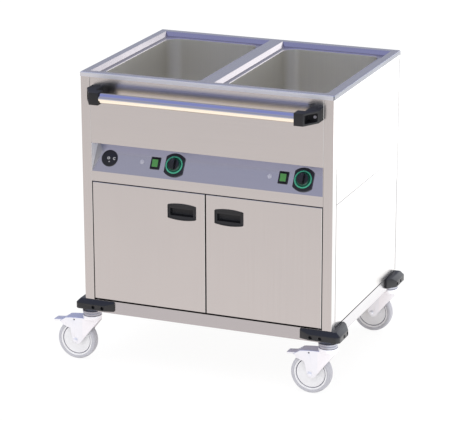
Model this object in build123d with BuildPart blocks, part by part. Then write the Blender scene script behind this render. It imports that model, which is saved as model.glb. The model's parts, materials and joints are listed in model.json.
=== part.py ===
from build123d import *

import os
from math import asin, atan2, cos, degrees, hypot, radians, sin, tan

os.makedirs("parts", exist_ok=True)

# Mobile bain-marie for two GN 1/1 pans, in millimetres and degrees.
# The origin is on the floor under the middle of the worktop, +Z is up and the doors face -Y.

# Worktop, sized by the two pans that hang in it
pan_width = 325.0
pan_length = 530.0
pan_play = 5.0
pan_seat = 10.0
slope_run = 9.5
slope_drop = 12.0
rim_width = 24.5
divider_width = 43.0
lip_height = 13.0
worktop_sheet = 1.5
worktop_corner = 4.0
worktop_edge = 3.0
collar_height = 14.0
collar_radius = 4.0

# Tanks
tank_depth = 193.0
tank_wall = 1.2
tank_corner = 42.0
tank_floor_radius = 18.0
drain_bore = 8.0

# Cabinet
front_overhang = 2.0
side_overhang = 2.0
rear_overhang = 8.0
carcass_height = 711.0
post_width = 30.0
post_sheet = 1.5
fold_depth = 14.0
fold_radius = 1.2
panel_sheet = 1.0
panel_hem = 2.5
panel_foot_gap = 3.0
panel_seam = 1.0
chassis_height = 39.0
chassis_sheet = 2.0
chassis_flange = 26.0
castor_plate = 62.0
castor_plate_sheet = 3.0
floor_sheet = 1.0
shelf_play = 0.3

# Front: fascia, sloped control panel and lintel
fascia_height = 215.5
fascia_sheet = 1.2
panel_height = 86.8
panel_lean = 31.4
control_sheet = 1.5
lintel_height = 31.0

# Controls, placed along the panel and up its slope
control_rise = 44.0
group_spread = 4.5
lamp_offset = -9.0
switch_offset = 34.5
thermostat_offset = 96.5
drain_inset = 50.0
shaft_play = 0.05
lamp_radius = 7.0
lamp_height = 1.6
lamp_slope = 25.0
lamp_stem = 4.0
lamp_length = 20.0
switch_width = 31.0
switch_length = 38.5
switch_rim = 3.0
switch_rim_slope = 15.0
switch_body_width = 26.0
switch_body_length = 34.0
switch_depth = 20.0
rocker_width = 21.0
rocker_radius = 15.4
rocker_play = 0.4
rocker_pivot_depth = 3.0
rocker_face_height = 3.6
rocker_throw = 14.0
trunnion_radius = 1.5
trunnion_length = 1.4
bezel_width = 58.5
bezel_side = 48.0
bezel_length = 72.0
bezel_height = 5.0
bezel_corner = 10.0
ring_radius = 27.0
ring_width = 5.0
ring_height = 2.2
knob_gap = 0.6
knob_height = 9.0
knob_grip_width = 13.0
knob_grip_height = 10.0
knob_grip_slope = 4.0
knob_shaft = 3.0
knob_shaft_length = 26.0
thermostat_size = 36.0
thermostat_depth = 28.0
drain_disc_radius = 25.5
drain_disc_height = 3.2
drain_disc_gap = 0.4
drain_shaft = 4.0

# Drain valve and manifold
valve_reach = 75.0
valve_radius = 20.0
valve_length = 40.0
pipe_radius = 11.0
pipe_wall = 1.5
branch_drop = 34.0
spout_length = 60.0

# Heaters and supply
heater_width = 250.0
heater_length = 400.0
heater_height = 6.0
heater_shift = 25.0
terminal_width = 64.0
terminal_depth = 30.0
terminal_height = 34.0
supply_x = 250.0
supply_height = 60.0
gland_bore = 5.0
gland_radius = 10.0
gland_flats = 24.0
gland_flange = 6.0
gland_dome = 16.0
gland_round = 3.0
gland_tail = 12.0
terminal_ways = 4
terminal_hole = 4.0
terminal_hole_depth = 10.0

# Push bar
bar_radius = 15.0
bar_wall = 1.5
bar_standoff = 62.0
bar_seat = 20.0
bracket_gap = 5.0
bracket_reach = 80.0
bracket_width = 29.0
bracket_base = 58.0
bracket_foot = 30.0
bracket_top_drop = 39.0
bracket_bottom_drop = 76.0
bracket_chamfer = 1.5
bracket_round = 2.25
bracket_screw_inset = 10.5
pocket_wall = 5.0
pocket_height = 25.0

# Screws of one head and shank, longer in the push bar's brackets than in the bumpers
screw_head = 4.5
screw_head_height = 2.8
screw_shank = 2.2
screw_length = 14.0
bracket_screw_length = 36.0
screw_play = 0.1
screw_recess = 5.2

# Doors
door_depth = 20.0
door_sheet = 1.0
door_gap = 2.5
door_middle_gap = 4.0
door_top_gap = 3.0
door_bottom_gap = 4.5
door_edge = 1.5
hinge_inset = 9.0
hinge_setback = 5.0
pin_radius = 2.5
pin_collar = 4.5
pin_reach = 9.0
pin_head = 3.2
pin_head_height = 2.0
collar_gap = 0.3
grip_width = 90.5
grip_side = 41.0
grip_crown = 5.0
grip_corner = 2.5
grip_flange = 2.4
grip_border = 5.5
grip_depth = 13.0
grip_wall = 1.8
grip_from_middle = 30.0
grip_below_top = 63.0
catch_width = 42.0
catch_depth = 14.0
catch_height = 16.0
catch_gap = 0.4
catch_round = 2.8
catch_offset = 70.0

# Corner bumpers
bumper_leg = 97.0
bumper_side_reach = 29.0
bumper_end_reach = 14.0
bumper_toe = 6.0
bumper_taper = 30.0
bumper_lift = 8.0
bumper_height = 30.0
bumper_slope = 12.0
bumper_corner = 13.0
bumper_screw_rise = 9.0
bumper_screw_in = 31.0
bumper_screw_out = 61.0
bumper_screw_seat = 4.0

# Castors
wheel_radius = 62.5
wheel_trail = 50.0
tyre_height = 11.0
tyre_width = 31.0
tyre_seat_inset = 1.5
tread_drop = 3.0
rim_half = 12.5
rim_dish = 1.6
rim_groove = 1.6
rim_groove_depth = 4.0
rim_groove_radius = 45.5
hub_radius = 14.0
hub_play = 0.5
axle_radius = 5.0
axle_cap = 7.5
axle_cap_height = 4.5
fork_sheet = 3.0
fork_width = 44.0
fork_round = 3.0
fork_nose = 30.0
fork_nose_turn = 7.0
roof_gap = 11.0
roof_sag = 1.0
leg_front = 21.0
leg_foot = 9.0
leg_drop = 10.5
leg_back = 16.5
leg_back_rise = 38.0
hood_reach = 52.0
hood_tip_drop = 18.5
hood_under_reach = 41.0
hood_under_drop = 30.0
roof_reach = 31.0
roof_drop = 4.5
swivel_radius = 29.0
swivel_height = 9.3
race_height = 15.7
race_radius = 22.0
race_seat = 25.0
race_recess = 3.0
race_gap = 0.3
kingpin_radius = 6.0
kingpin_head = 11.0
kingpin_head_height = 5.0
kingpin_nut = 9.5
kingpin_nut_height = 10.0
pedal_width = 31.0
pedal_sheet = 5.0
pedal_hub = 3.4
pedal_pin = 2.5
pedal_pin_recess = 1.5
pedal_pin_offset = 2.5
pedal_pin_rise = 5.0
pedal_exit_rise = 2.5
pedal_reach = 75.0
pedal_tip_drop = 4.5
pedal_throw = 12.0
shoe_contact = 20.0
shoe_end = 26.0
shoe_gap = 1.5

# Worktop and tank sizes that follow
ledge_width = pan_width + 2 * pan_play
ledge_length = pan_length + 2 * pan_play
tank_width = pan_width - 2 * pan_seat
tank_length = pan_length - 2 * pan_seat
recess_width = ledge_width + 2 * slope_run
recess_length = ledge_length + 2 * slope_run
worktop_width = 2 * (recess_width + rim_width) + divider_width
worktop_depth = recess_length + 2 * rim_width
tank_x = (recess_width + divider_width) / 2

# Heights, from the floor up
fork_roof = wheel_radius + roof_gap
crown_top = fork_roof + fork_sheet
castor_height = wheel_radius + crown_top + swivel_height + race_height
chassis_top = castor_height + chassis_height
worktop_top = chassis_top + carcass_height
worktop_under = worktop_top - worktop_sheet
ledge_z = worktop_top - slope_drop
tank_top = ledge_z - collar_height
tank_bottom = ledge_z - tank_depth
fascia_bottom = worktop_top - fascia_height
panel_bottom = fascia_bottom - panel_height
lintel_bottom = panel_bottom - lintel_height
shelf_bottom = lintel_bottom + control_sheet
panel_split = shelf_bottom - panel_sheet
door_top = lintel_bottom - door_top_gap
door_bottom = chassis_top + door_bottom_gap

# Plan
front_y = -worktop_depth / 2 + front_overhang
rear_y = worktop_depth / 2 - rear_overhang
side_x = worktop_width / 2 - side_overhang
bay_x = side_x - post_width
bracket_span = bay_x - bracket_gap - bracket_base
pivot_x = side_x - post_width / 2
pivot_y = {"front": front_y + post_width / 2, "rear": rear_y - post_width / 2}
door_side_x = bay_x - door_gap
hinge_x = door_side_x - hinge_inset
hinge_y = front_y + hinge_setback
grip_x = grip_from_middle + grip_width / 2
grip_z = door_top - grip_below_top
sides = {"left": -1, "right": 1}

# The sloped panel's own plane: x along the cabinet, y up the slope, z out of the panel
lean = radians(panel_lean)
panel_out = (0, -cos(lean), sin(lean))
panel_top_y = front_y + panel_height * tan(lean)


def control_plane(x, out=0.0):
    """The panel's plane with its origin at one control, moved out of the panel by out."""
    y = front_y + control_rise * sin(lean) - out * cos(lean)
    z = panel_bottom + control_rise * cos(lean) + out * sin(lean)
    return Plane(origin=(x, y, z), x_dir=(1, 0, 0), z_dir=panel_out)


group_x = {name: sign * (tank_x + group_spread) for name, sign in sides.items()}
drain_x = -bay_x + drain_inset
lamp_places = [x + lamp_offset for x in group_x.values()]
switch_places = {name: x + switch_offset for name, x in group_x.items()}
thermostat_places = {name: x + thermostat_offset for name, x in group_x.items()}


def slab(low, high, mode=Mode.ADD):
    """Adds or cuts a box given by two of its corners."""
    size = [abs(b - a) for a, b in zip(low, high)]
    middle = [(a + b) / 2 for a, b in zip(low, high)]
    with Locations(tuple(middle)):
        Box(*size, mode=mode)


def rod(plane, radius, start, end, mode=Mode.ADD):
    """Adds or cuts a round bar along a plane's normal, from start to end along it."""
    with BuildSketch(plane.offset(start)) as section:
        Circle(radius)
    extrude(section.sketch, amount=end - start, mode=mode)


def outline(plane, points):
    """A closed straight-sided sketch on a plane."""
    with BuildSketch(plane) as shape:
        with BuildLine():
            Polyline(*points, close=True)
        make_face()
    return shape.sketch


def folded(points, sheet):
    """The section of a sheet folded along points, thickened to the left of their run."""
    normals = []
    for (ax, ay), (bx, by) in zip(points, points[1:]):
        length = hypot(bx - ax, by - ay)
        normals.append((-(by - ay) / length, (bx - ax) / length))
    shifts = [normals[0]]
    for (ax, ay), (bx, by) in zip(normals, normals[1:]):
        share = 1 + ax * bx + ay * by
        shifts.append(((ax + bx) / share, (ay + by) / share))
    shifts.append(normals[-1])
    inner = [(x + sheet * dx, y + sheet * dy) for (x, y), (dx, dy) in zip(points, shifts)]
    return points + inner[::-1]


def save(piece, label):
    piece.part.label = label
    export_step(piece.part, f"parts/{label}.step")


# Worktop: one pressed sheet with a lip, two sloped recesses and a collar down to each tank
slope_skin = worktop_sheet * (hypot(slope_run, slope_drop) - slope_run) / slope_drop
slope_angle = degrees(atan2(slope_run, slope_drop))

with BuildPart() as worktop:
    with BuildSketch(Plane.XY.offset(worktop_top)):
        RectangleRounded(worktop_width, worktop_depth, worktop_corner)
    extrude(amount=-lip_height)
    fillet(worktop.faces().sort_by(Axis.Z)[-1].edges(), worktop_edge)
    with BuildSketch(Plane.XY.offset(worktop_under)):
        Rectangle(worktop_width - 2 * worktop_sheet, worktop_depth - 2 * worktop_sheet)
    extrude(amount=-lip_height, mode=Mode.SUBTRACT)
    for sign in sides.values():
        middle = (sign * tank_x, 0)
        with BuildSketch(Plane.XY.offset(worktop_under)):
            with Locations(middle):
                Rectangle(recess_width + 2 * slope_skin, recess_length + 2 * slope_skin)
        extrude(amount=-slope_drop, taper=slope_angle)
        with BuildSketch(Plane.XY.offset(ledge_z)):
            with Locations(middle):
                RectangleRounded(
                    tank_width + 2 * worktop_sheet,
                    tank_length + 2 * worktop_sheet,
                    tank_corner + worktop_sheet,
                )
        extrude(amount=-collar_height)
    for sign in sides.values():
        middle = (sign * tank_x, 0)
        with BuildSketch(Plane.XY.offset(worktop_top)):
            with Locations(middle):
                Rectangle(recess_width, recess_length)
        extrude(amount=-slope_drop, taper=slope_angle, mode=Mode.SUBTRACT)
        with BuildSketch(Plane.XY.offset(ledge_z)):
            with Locations(middle):
                RectangleRounded(tank_width, tank_length, tank_corner)
        extrude(amount=-collar_height, mode=Mode.SUBTRACT)
    flats = worktop.faces().filter_by(Axis.Z)
    ledges = [flat for flat in flats if abs(flat.center().Z - ledge_z) < worktop_sheet / 2]
    collar_edges = [edge for ledge in ledges for edge in ledge.inner_wires()[0].edges()]
    fillet(collar_edges, collar_radius)
save(worktop, "worktop")

# Tanks: pressed wells with a drain hole at the front left of each floor
valve_plane = control_plane(drain_x, -valve_reach)
drain_y = valve_plane.origin.Y
drain_places = {"left": drain_x, "right": drain_x + 2 * tank_x}

for side, sign in sides.items():
    with BuildPart() as tank:
        with BuildSketch(Plane.XY.offset(tank_top)):
            with Locations((sign * tank_x, 0)):
                RectangleRounded(
                    tank_width + 2 * tank_wall, tank_length + 2 * tank_wall, tank_corner + tank_wall
                )
        extrude(amount=tank_bottom - tank_wall - tank_top)
        fillet(tank.faces().sort_by(Axis.Z)[0].edges(), tank_floor_radius + tank_wall)
        offset(amount=-tank_wall, openings=tank.faces().sort_by(Axis.Z)[-1])
        rod(
            Plane(origin=(drain_places[side], drain_y, tank_bottom)),
            drain_bore,
            -2 * tank_wall,
            2 * tank_wall,
            Mode.SUBTRACT,
        )
    save(tank, f"tank_{side}")

# Corner posts: folded angles whose edges turn inwards beside the panels
for end, end_y, inwards in (("front", front_y, 1), ("rear", rear_y, -1)):
    with BuildPart() as posts:
        for sign in sides.values():
            corner_x = sign * side_x
            low = (corner_x, end_y, chassis_top)
            slab(low, (corner_x - sign * post_width, end_y + inwards * post_sheet, worktop_under))
            slab(low, (corner_x - sign * post_sheet, end_y + inwards * post_width, worktop_under))
            slab(
                (sign * bay_x, end_y, chassis_top),
                (sign * (bay_x + post_sheet), end_y + inwards * fold_depth, worktop_under),
            )
            slab(
                (corner_x, end_y + inwards * (post_width - post_sheet), chassis_top),
                (corner_x - sign * fold_depth, end_y + inwards * post_width, worktop_under),
            )
        uprights = posts.edges().filter_by(Axis.Z)
        outer = uprights.filter_by(lambda e: abs(abs(e.center().X) - side_x) < fold_radius / 10)
        face = uprights.filter_by(lambda e: abs(e.center().Y - end_y) < fold_radius / 10)
        fillet(ShapeList(set(outer + face)), fold_radius)
    save(posts, f"{end}_posts")


def wall_panel(low, high, axis, inwards):
    """Adds a shallow folded tray that is open on one side, inwards along an axis."""
    slab(low, high)
    inner_low = [a + panel_sheet for a in low]
    inner_high = [b - panel_sheet for b in high]
    if inwards > 0:
        inner_high[axis] = high[axis]
    else:
        inner_low[axis] = low[axis]
    slab(inner_low, inner_high, Mode.SUBTRACT)


# Side panels: a shallow lower tray round the cupboard and a deeper upper one that carries its ceiling
panel_trays = (
    (chassis_top + panel_foot_gap, panel_split - panel_seam, panel_hem),
    (panel_split, worktop_under, fold_depth),
)
for side, sign in sides.items():
    with BuildPart() as side_panels:
        for bottom, top, depth in panel_trays:
            near, far = sorted((sign * (side_x - depth), sign * side_x))
            wall_panel((near, front_y + post_width, bottom), (far, rear_y - post_width, top), 0, -sign)
        faces = side_panels.faces().filter_by(Axis.X).group_by(Axis.X)
        fillet(faces[-1 if sign > 0 else 0].edges(), fold_radius)
    save(side_panels, f"side_panels_{side}")

# Rear panel, of two trays like the sides, with the hole for the cable gland in the upper one
supply_z = fascia_bottom - supply_height
with BuildPart() as rear_panel:
    for bottom, top, depth in panel_trays:
        wall_panel((-bay_x, rear_y - depth, bottom), (bay_x, rear_y, top), 1, -1)
    fillet(rear_panel.faces().filter_by(Axis.Y).group_by(Axis.Y)[-1].edges(), fold_radius)
    rear_outside = Plane(origin=(supply_x, rear_y, supply_z), x_dir=(-1, 0, 0), z_dir=(0, 1, 0))
    rod(rear_outside, gland_radius + shaft_play, -2 * panel_sheet, panel_sheet, Mode.SUBTRACT)
save(rear_panel, "rear_panel")

# Where the push bar's brackets are screwed to the fascia, level with the middle of the bar
bar_z = worktop_top - (bracket_top_drop + bracket_bottom_drop) / 2
bracket_screw_x = bracket_span + bracket_base - bracket_screw_inset
bracket_screws = {
    side: Plane(origin=(sign * bracket_screw_x, front_y, bar_z), x_dir=(1, 0, 0), z_dir=(0, -1, 0))
    for side, sign in sides.items()
}

# Front fascia, folded back at its foot to the head of the sloped panel
with BuildPart() as front_fascia:
    slab((-bay_x, front_y, fascia_bottom), (bay_x, front_y + fascia_sheet, worktop_under))
    slab((-bay_x, front_y, fascia_bottom), (bay_x, panel_top_y, fascia_bottom + fascia_sheet))
    for sign in sides.values():
        slab(
            (sign * bay_x, front_y, fascia_bottom),
            (sign * (bay_x - fascia_sheet), front_y + fold_depth, worktop_under),
        )
    front_edges = front_fascia.faces().filter_by(Axis.Y).sort_by(Axis.Y)[0].edges()
    fillet(front_edges.sort_by(Axis.Z)[:-1], fold_radius)
    for line in bracket_screws.values():
        rod(line, screw_shank + screw_play, -2 * fascia_sheet, fascia_sheet, Mode.SUBTRACT)
save(front_fascia, "front_fascia")

# Control panel: slope, lintel and a cheek at each end, cut out for the controls and the door pins
with BuildPart() as control_panel:
    section = folded(
        [
            (front_y + fold_depth, lintel_bottom),
            (front_y, lintel_bottom),
            (front_y, panel_bottom),
            (panel_top_y, fascia_bottom),
        ],
        -control_sheet,
    )
    extrude(outline(Plane.YZ, section), amount=bay_x, both=True)
    for sign in sides.values():
        cheek = outline(
            Plane.YZ.offset(sign * bay_x),
            [(front_y, panel_bottom), (panel_top_y, fascia_bottom), (front_y, fascia_bottom)],
        )
        extrude(cheek, amount=-sign * control_sheet)
    for x in switch_places.values():
        with BuildSketch(control_plane(x)):
            Rectangle(switch_body_width + 2 * shaft_play, switch_body_length + 2 * shaft_play)
        extrude(amount=2 * control_sheet, both=True, mode=Mode.SUBTRACT)
    for x, hole in (
        *((x, lamp_stem + shaft_play) for x in lamp_places),
        *((x, 2 * knob_shaft) for x in thermostat_places.values()),
        (drain_x, drain_shaft + shaft_play),
    ):
        rod(control_plane(x), hole, -2 * control_sheet, 2 * control_sheet, Mode.SUBTRACT)
    for sign in sides.values():
        rod(
            Plane(origin=(sign * hinge_x, hinge_y, lintel_bottom)),
            pin_radius + shaft_play,
            -control_sheet,
            2 * control_sheet,
            Mode.SUBTRACT,
        )
save(control_panel, "control_panel")

# Pilot lamps: flush lenses with a body behind the panel
with BuildPart() as pilot_lamps:
    for x in lamp_places:
        with BuildSketch(control_plane(x)):
            Circle(lamp_radius)
        extrude(amount=lamp_height, taper=lamp_slope)
        rod(control_plane(x), lamp_stem, -lamp_length, 0)
save(pilot_lamps, "pilot_lamps")

# Rocker switches: a housing through the panel and a dished rocker that tips in it
with BuildPart() as switch_housings:
    for x in switch_places.values():
        with BuildSketch(control_plane(x)):
            RectangleRounded(switch_width, switch_length, switch_rim)
        extrude(amount=switch_rim, taper=switch_rim_slope)
        with BuildSketch(control_plane(x)):
            Rectangle(switch_body_width, switch_body_length)
        extrude(amount=-switch_depth)
    for x in switch_places.values():
        with BuildSketch(control_plane(x, switch_rim)):
            Rectangle(rocker_width + 2 * rocker_play, 2 * (rocker_radius + rocker_play))
        extrude(amount=-switch_depth + rocker_play, mode=Mode.SUBTRACT)
        pivot = control_plane(x, -rocker_pivot_depth)
        across = Plane(origin=pivot.origin, x_dir=pivot.y_dir, z_dir=pivot.x_dir)
        with BuildSketch(across):
            Circle(trunnion_radius + shaft_play)
        extrude(amount=rocker_width / 2 + rocker_play + trunnion_length, both=True, mode=Mode.SUBTRACT)
save(switch_housings, "switch_housings")

throw = radians(rocker_throw)
for side, x in switch_places.items():
    pivot = control_plane(x, -rocker_pivot_depth)
    across = Plane(origin=pivot.origin, x_dir=pivot.y_dir, z_dir=pivot.x_dir)
    face = rocker_pivot_depth + rocker_face_height
    reach = rocker_radius + rocker_face_height
    with BuildPart() as rocker:
        with BuildSketch(across):
            Circle(rocker_radius)
            with BuildLine():
                Polyline(
                    (-reach, -trunnion_radius),
                    (reach, -trunnion_radius),
                    (reach, face + reach * tan(throw)),
                    (0, face),
                    (-reach, face),
                    close=True,
                )
            make_face(mode=Mode.INTERSECT)
        extrude(amount=rocker_width / 2, both=True)
        with BuildSketch(across):
            Circle(trunnion_radius)
        extrude(amount=rocker_width / 2 + trunnion_length, both=True)
    save(rocker, f"rocker_{side}")

# Thermostats: bezel, coloured ring and body fixed to the panel, knob and shaft that turn
with BuildPart() as thermostat_bezels:
    for x in thermostat_places.values():
        half, side_half, crown = bezel_width / 2, bezel_side / 2, bezel_length / 2
        with BuildSketch(control_plane(x)) as bezel_face:
            with BuildLine():
                Line((half, -side_half), (half, side_half))
                ThreePointArc((half, side_half), (0, crown), (-half, side_half))
                Line((-half, side_half), (-half, -side_half))
                ThreePointArc((-half, -side_half), (0, -crown), (half, -side_half))
            make_face()
            fillet(bezel_face.vertices(), bezel_corner)
        extrude(amount=bezel_height)
        rod(control_plane(x), 2 * knob_shaft, -bezel_height, 2 * bezel_height, Mode.SUBTRACT)
save(thermostat_bezels, "thermostat_bezels")

with BuildPart() as thermostat_rings:
    for x in thermostat_places.values():
        top = control_plane(x, bezel_height)
        rod(top, ring_radius, 0, ring_height)
        rod(top, ring_radius - ring_width, -ring_height, 2 * ring_height, Mode.SUBTRACT)
save(thermostat_rings, "thermostat_rings")

knob_radius = ring_radius - ring_width - knob_gap
for side, x in thermostat_places.items():
    seat = control_plane(x, bezel_height + knob_gap)
    with BuildPart() as knob:
        rod(seat, knob_radius, 0, knob_height)
        fillet(knob.faces().sort_by(Axis.Y)[0].edges(), knob_gap)
        with BuildSketch(seat.offset(knob_height)):
            Circle(knob_radius - knob_gap)
            Rectangle(knob_grip_width, 2 * knob_radius, mode=Mode.INTERSECT)
        extrude(amount=knob_grip_height, taper=knob_grip_slope)
        rod(seat, knob_shaft, -knob_shaft_length, 0)
    save(knob, f"thermostat_knob_{side}")

with BuildPart() as thermostats:
    for x in thermostat_places.values():
        back = control_plane(x, -control_sheet)
        with BuildSketch(back):
            Rectangle(thermostat_size, thermostat_size)
        extrude(amount=-thermostat_depth)
        rod(back, knob_shaft + shaft_play, -knob_shaft_length, control_sheet, Mode.SUBTRACT)
save(thermostats, "thermostats")

# Drain: knob, valve behind the panel, manifold from both tanks, spout into the cupboard
with BuildPart() as drain_knob:
    disc = control_plane(drain_x, drain_disc_gap)
    rod(disc, drain_disc_radius, 0, drain_disc_height)
    fillet(drain_knob.faces().sort_by(Axis.Y)[0].edges(), 2 * drain_disc_gap)
    rod(disc, drain_shaft, -valve_reach + valve_length / 2 - drain_shaft, 0)
save(drain_knob, "drain_knob")

valve_z = valve_plane.origin.Z
with BuildPart() as drain_valve:
    rod(valve_plane, valve_radius, -valve_length / 2, valve_length / 2)
    upright = Plane(origin=(drain_x, drain_y, valve_z))
    rod(upright, pipe_radius, -spout_length, valve_radius + pipe_radius)
    rod(upright, pipe_radius - pipe_wall, -2 * spout_length, -valve_radius, Mode.SUBTRACT)
    stem_hole = valve_length / 2 - 2 * drain_shaft
    rod(valve_plane, drain_shaft + shaft_play, stem_hole, valve_length, Mode.SUBTRACT)
save(drain_valve, "drain_valve")

branch_z = tank_bottom - tank_wall - branch_drop
joint_z = valve_z + valve_radius + pipe_radius
with BuildPart() as drain_manifold:
    for radius, mode in ((pipe_radius, Mode.ADD), (pipe_radius - pipe_wall, Mode.SUBTRACT)):
        rod(Plane(origin=(drain_x, drain_y, joint_z)), radius, 0, tank_bottom - tank_wall - joint_z, mode)
        rod(
            Plane(origin=(drain_places["right"], drain_y, branch_z)),
            radius,
            0,
            tank_bottom - tank_wall - branch_z,
            mode,
        )
        branch = Plane(origin=(drain_x, drain_y, branch_z), x_dir=(0, 1, 0), z_dir=(1, 0, 0))
        rod(branch, radius, 0, 2 * tank_x, mode)
        with Locations((drain_places["right"], drain_y, branch_z)):
            Sphere(radius, mode=mode)
save(drain_manifold, "drain_manifold")

# Heater plates against the tank floors, set back from the drains
with BuildPart() as heater_plates:
    for sign in sides.values():
        with BuildSketch(Plane.XY.offset(tank_bottom - tank_wall)):
            with Locations((sign * tank_x, heater_shift)):
                RectangleRounded(heater_width, heater_length, heater_height)
        extrude(amount=-heater_height)
save(heater_plates, "heater_plates")

# Supply: cable gland through the rear panel and the terminal block beside it
with BuildPart() as cable_gland:
    with BuildSketch(rear_outside):
        RegularPolygon(gland_flats / 2, 6, major_radius=False)
    extrude(amount=gland_flange)
    rod(rear_outside, gland_radius, 0, gland_dome)
    fillet(cable_gland.faces().sort_by(Axis.Y)[-1].edges(), gland_round)
    rod(rear_outside, gland_radius, -gland_tail, 0)
    with BuildSketch(rear_outside.offset(-panel_sheet)):
        RegularPolygon(gland_flats / 2, 6, major_radius=False)
    extrude(amount=-gland_flange)
    rod(rear_outside, gland_bore, -2 * gland_tail, 2 * gland_dome, Mode.SUBTRACT)
save(cable_gland, "cable_gland")

with BuildPart() as terminal_block:
    inside = rear_y - panel_sheet
    start = supply_x - 2 * gland_flats - terminal_width
    slab(
        (start, inside, supply_z),
        (start + terminal_width, inside - terminal_depth, supply_z + terminal_height),
    )
    for way in range(terminal_ways):
        way_x = start + terminal_width * (way + 0.5) / terminal_ways
        way_place = (way_x, inside - terminal_depth, supply_z + terminal_height / 2)
        rod(Plane(origin=way_place, z_dir=(0, 1, 0)), terminal_hole, 0, terminal_hole_depth, Mode.SUBTRACT)
save(terminal_block, "terminal_block")


def shelf(bottom, front, sheet):
    """Adds a sheet across the cabinet from front to the rear panel, notched round the posts."""
    half = side_x - panel_sheet - shelf_play
    back = rear_y - panel_sheet - shelf_play
    notch_x = bay_x - fascia_sheet - shelf_play
    notch = post_width + panel_sheet + shelf_play
    slab((-half, front, bottom), (half, back, bottom + sheet))
    for sign in sides.values():
        for end, inwards in ((front_y, 1), (rear_y, -1)):
            slab(
                (sign * notch_x, end, bottom - sheet),
                (sign * 2 * side_x, end + inwards * notch, bottom + 2 * sheet),
                Mode.SUBTRACT,
            )


# Cupboard: ceiling on the lintel's fold, floor on the base frame
with BuildPart() as cupboard_ceiling:
    shelf(shelf_bottom, front_y + control_sheet + shelf_play, floor_sheet)
    spout = Plane(origin=(drain_x, drain_y, shelf_bottom))
    rod(spout, pipe_radius + shelf_play, -floor_sheet, 2 * floor_sheet, Mode.SUBTRACT)
    for sign in sides.values():
        pin_top = Plane(origin=(sign * hinge_x, hinge_y, shelf_bottom))
        rod(pin_top, pin_head + shelf_play, -floor_sheet, 2 * floor_sheet, Mode.SUBTRACT)
save(cupboard_ceiling, "cupboard_ceiling")

with BuildPart() as cupboard_floor:
    shelf(chassis_top, front_y + door_depth + shelf_play, floor_sheet)
save(cupboard_floor, "cupboard_floor")

# Screw lines of the bumpers, two on each leg, pointing out of the base frame
bumper_screw_z = castor_height + bumper_lift + bumper_screw_rise
bumper_screws = []
for sign in sides.values():
    for end, inwards in ((front_y, 1), (rear_y, -1)):
        for along in (bumper_screw_in, bumper_screw_out):
            front_place = (sign * (side_x - along), end, bumper_screw_z)
            side_place = (sign * side_x, end + inwards * along, bumper_screw_z)
            bumper_screws.append(Plane(origin=front_place, z_dir=(0, -inwards, 0)))
            bumper_screws.append(Plane(origin=side_place, z_dir=(sign, 0, 0)))

# Base frame: an inward channel all round, with a thicker plate at each corner for the castor
with BuildPart() as chassis:
    low = (-side_x, front_y, castor_height)
    high = (side_x, rear_y, chassis_top)
    slab(low, high)
    fillet(chassis.edges().filter_by(Axis.Z), chassis_sheet)
    slab([a + chassis_sheet for a in low], [b - chassis_sheet for b in high], Mode.SUBTRACT)
    slab(
        (low[0] + chassis_flange, low[1] + chassis_flange, castor_height - chassis_height),
        (high[0] - chassis_flange, high[1] - chassis_flange, chassis_top + chassis_height),
        Mode.SUBTRACT,
    )
    plate_z = castor_height + chassis_sheet
    for sign in sides.values():
        for end, inwards in ((front_y, 1), (rear_y, -1)):
            slab(
                (sign * (side_x - chassis_sheet), end + inwards * chassis_sheet, plate_z),
                (
                    sign * (side_x - castor_plate),
                    end + inwards * castor_plate,
                    plate_z + castor_plate_sheet,
                ),
            )
        for y in pivot_y.values():
            rod(
                Plane(origin=(sign * pivot_x, y, castor_height)),
                kingpin_radius + shaft_play,
                -chassis_sheet,
                2 * (chassis_sheet + castor_plate_sheet),
                Mode.SUBTRACT,
            )
        rod(
            Plane(origin=(sign * hinge_x, hinge_y, chassis_top)),
            pin_radius + shaft_play,
            -2 * chassis_sheet,
            chassis_sheet,
            Mode.SUBTRACT,
        )
    for line in bumper_screws:
        rod(line, screw_shank + screw_play, -2 * chassis_sheet, chassis_sheet, Mode.SUBTRACT)
save(chassis, "chassis")

# Corner bumpers: one moulding round the front right corner of the base frame, mirrored to the others
bumper_foot = castor_height + bumper_lift
with BuildPart() as corner_bumpers:
    outer_x = side_x + bumper_side_reach
    outer_y = front_y - bumper_end_reach
    end_x = side_x - bumper_leg
    end_y = front_y + bumper_leg
    slab((outer_x, outer_y, bumper_foot), (end_x, end_y, bumper_foot + bumper_height))
    fillet(corner_bumpers.edges().filter_by(Axis.Z).sort_by(Axis((0, 0, 0), (1, -1, 0)))[-1], bumper_corner)
    rim = corner_bumpers.faces().sort_by(Axis.Z)[-1].edges()
    chamfer(rim.sort_by(Axis((0, 0, 0), (1, -1, 0)))[-3:], bumper_slope)
    slab(
        (side_x, front_y, castor_height),
        (side_x - 2 * bumper_leg, front_y + 2 * bumper_leg, chassis_top + bumper_height),
        Mode.SUBTRACT,
    )
    for toe in (
        [(end_x, front_y - bumper_toe), (end_x + bumper_taper, outer_y), (end_x, outer_y)],
        [(side_x + bumper_toe, end_y), (outer_x, end_y - bumper_taper), (outer_x, end_y)],
    ):
        extrude(outline(Plane.XY, toe), amount=chassis_top + bumper_height, mode=Mode.SUBTRACT)
    for line in bumper_screws:
        rod(line, screw_shank + screw_play, 0, bumper_screw_seat, Mode.SUBTRACT)
        rod(line, screw_recess, bumper_screw_seat, 2 * bumper_side_reach, Mode.SUBTRACT)
    mirror(about=Plane.YZ)
    mirror(about=Plane.XZ.offset(-(front_y + rear_y) / 2))
save(corner_bumpers, "corner_bumpers")

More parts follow.
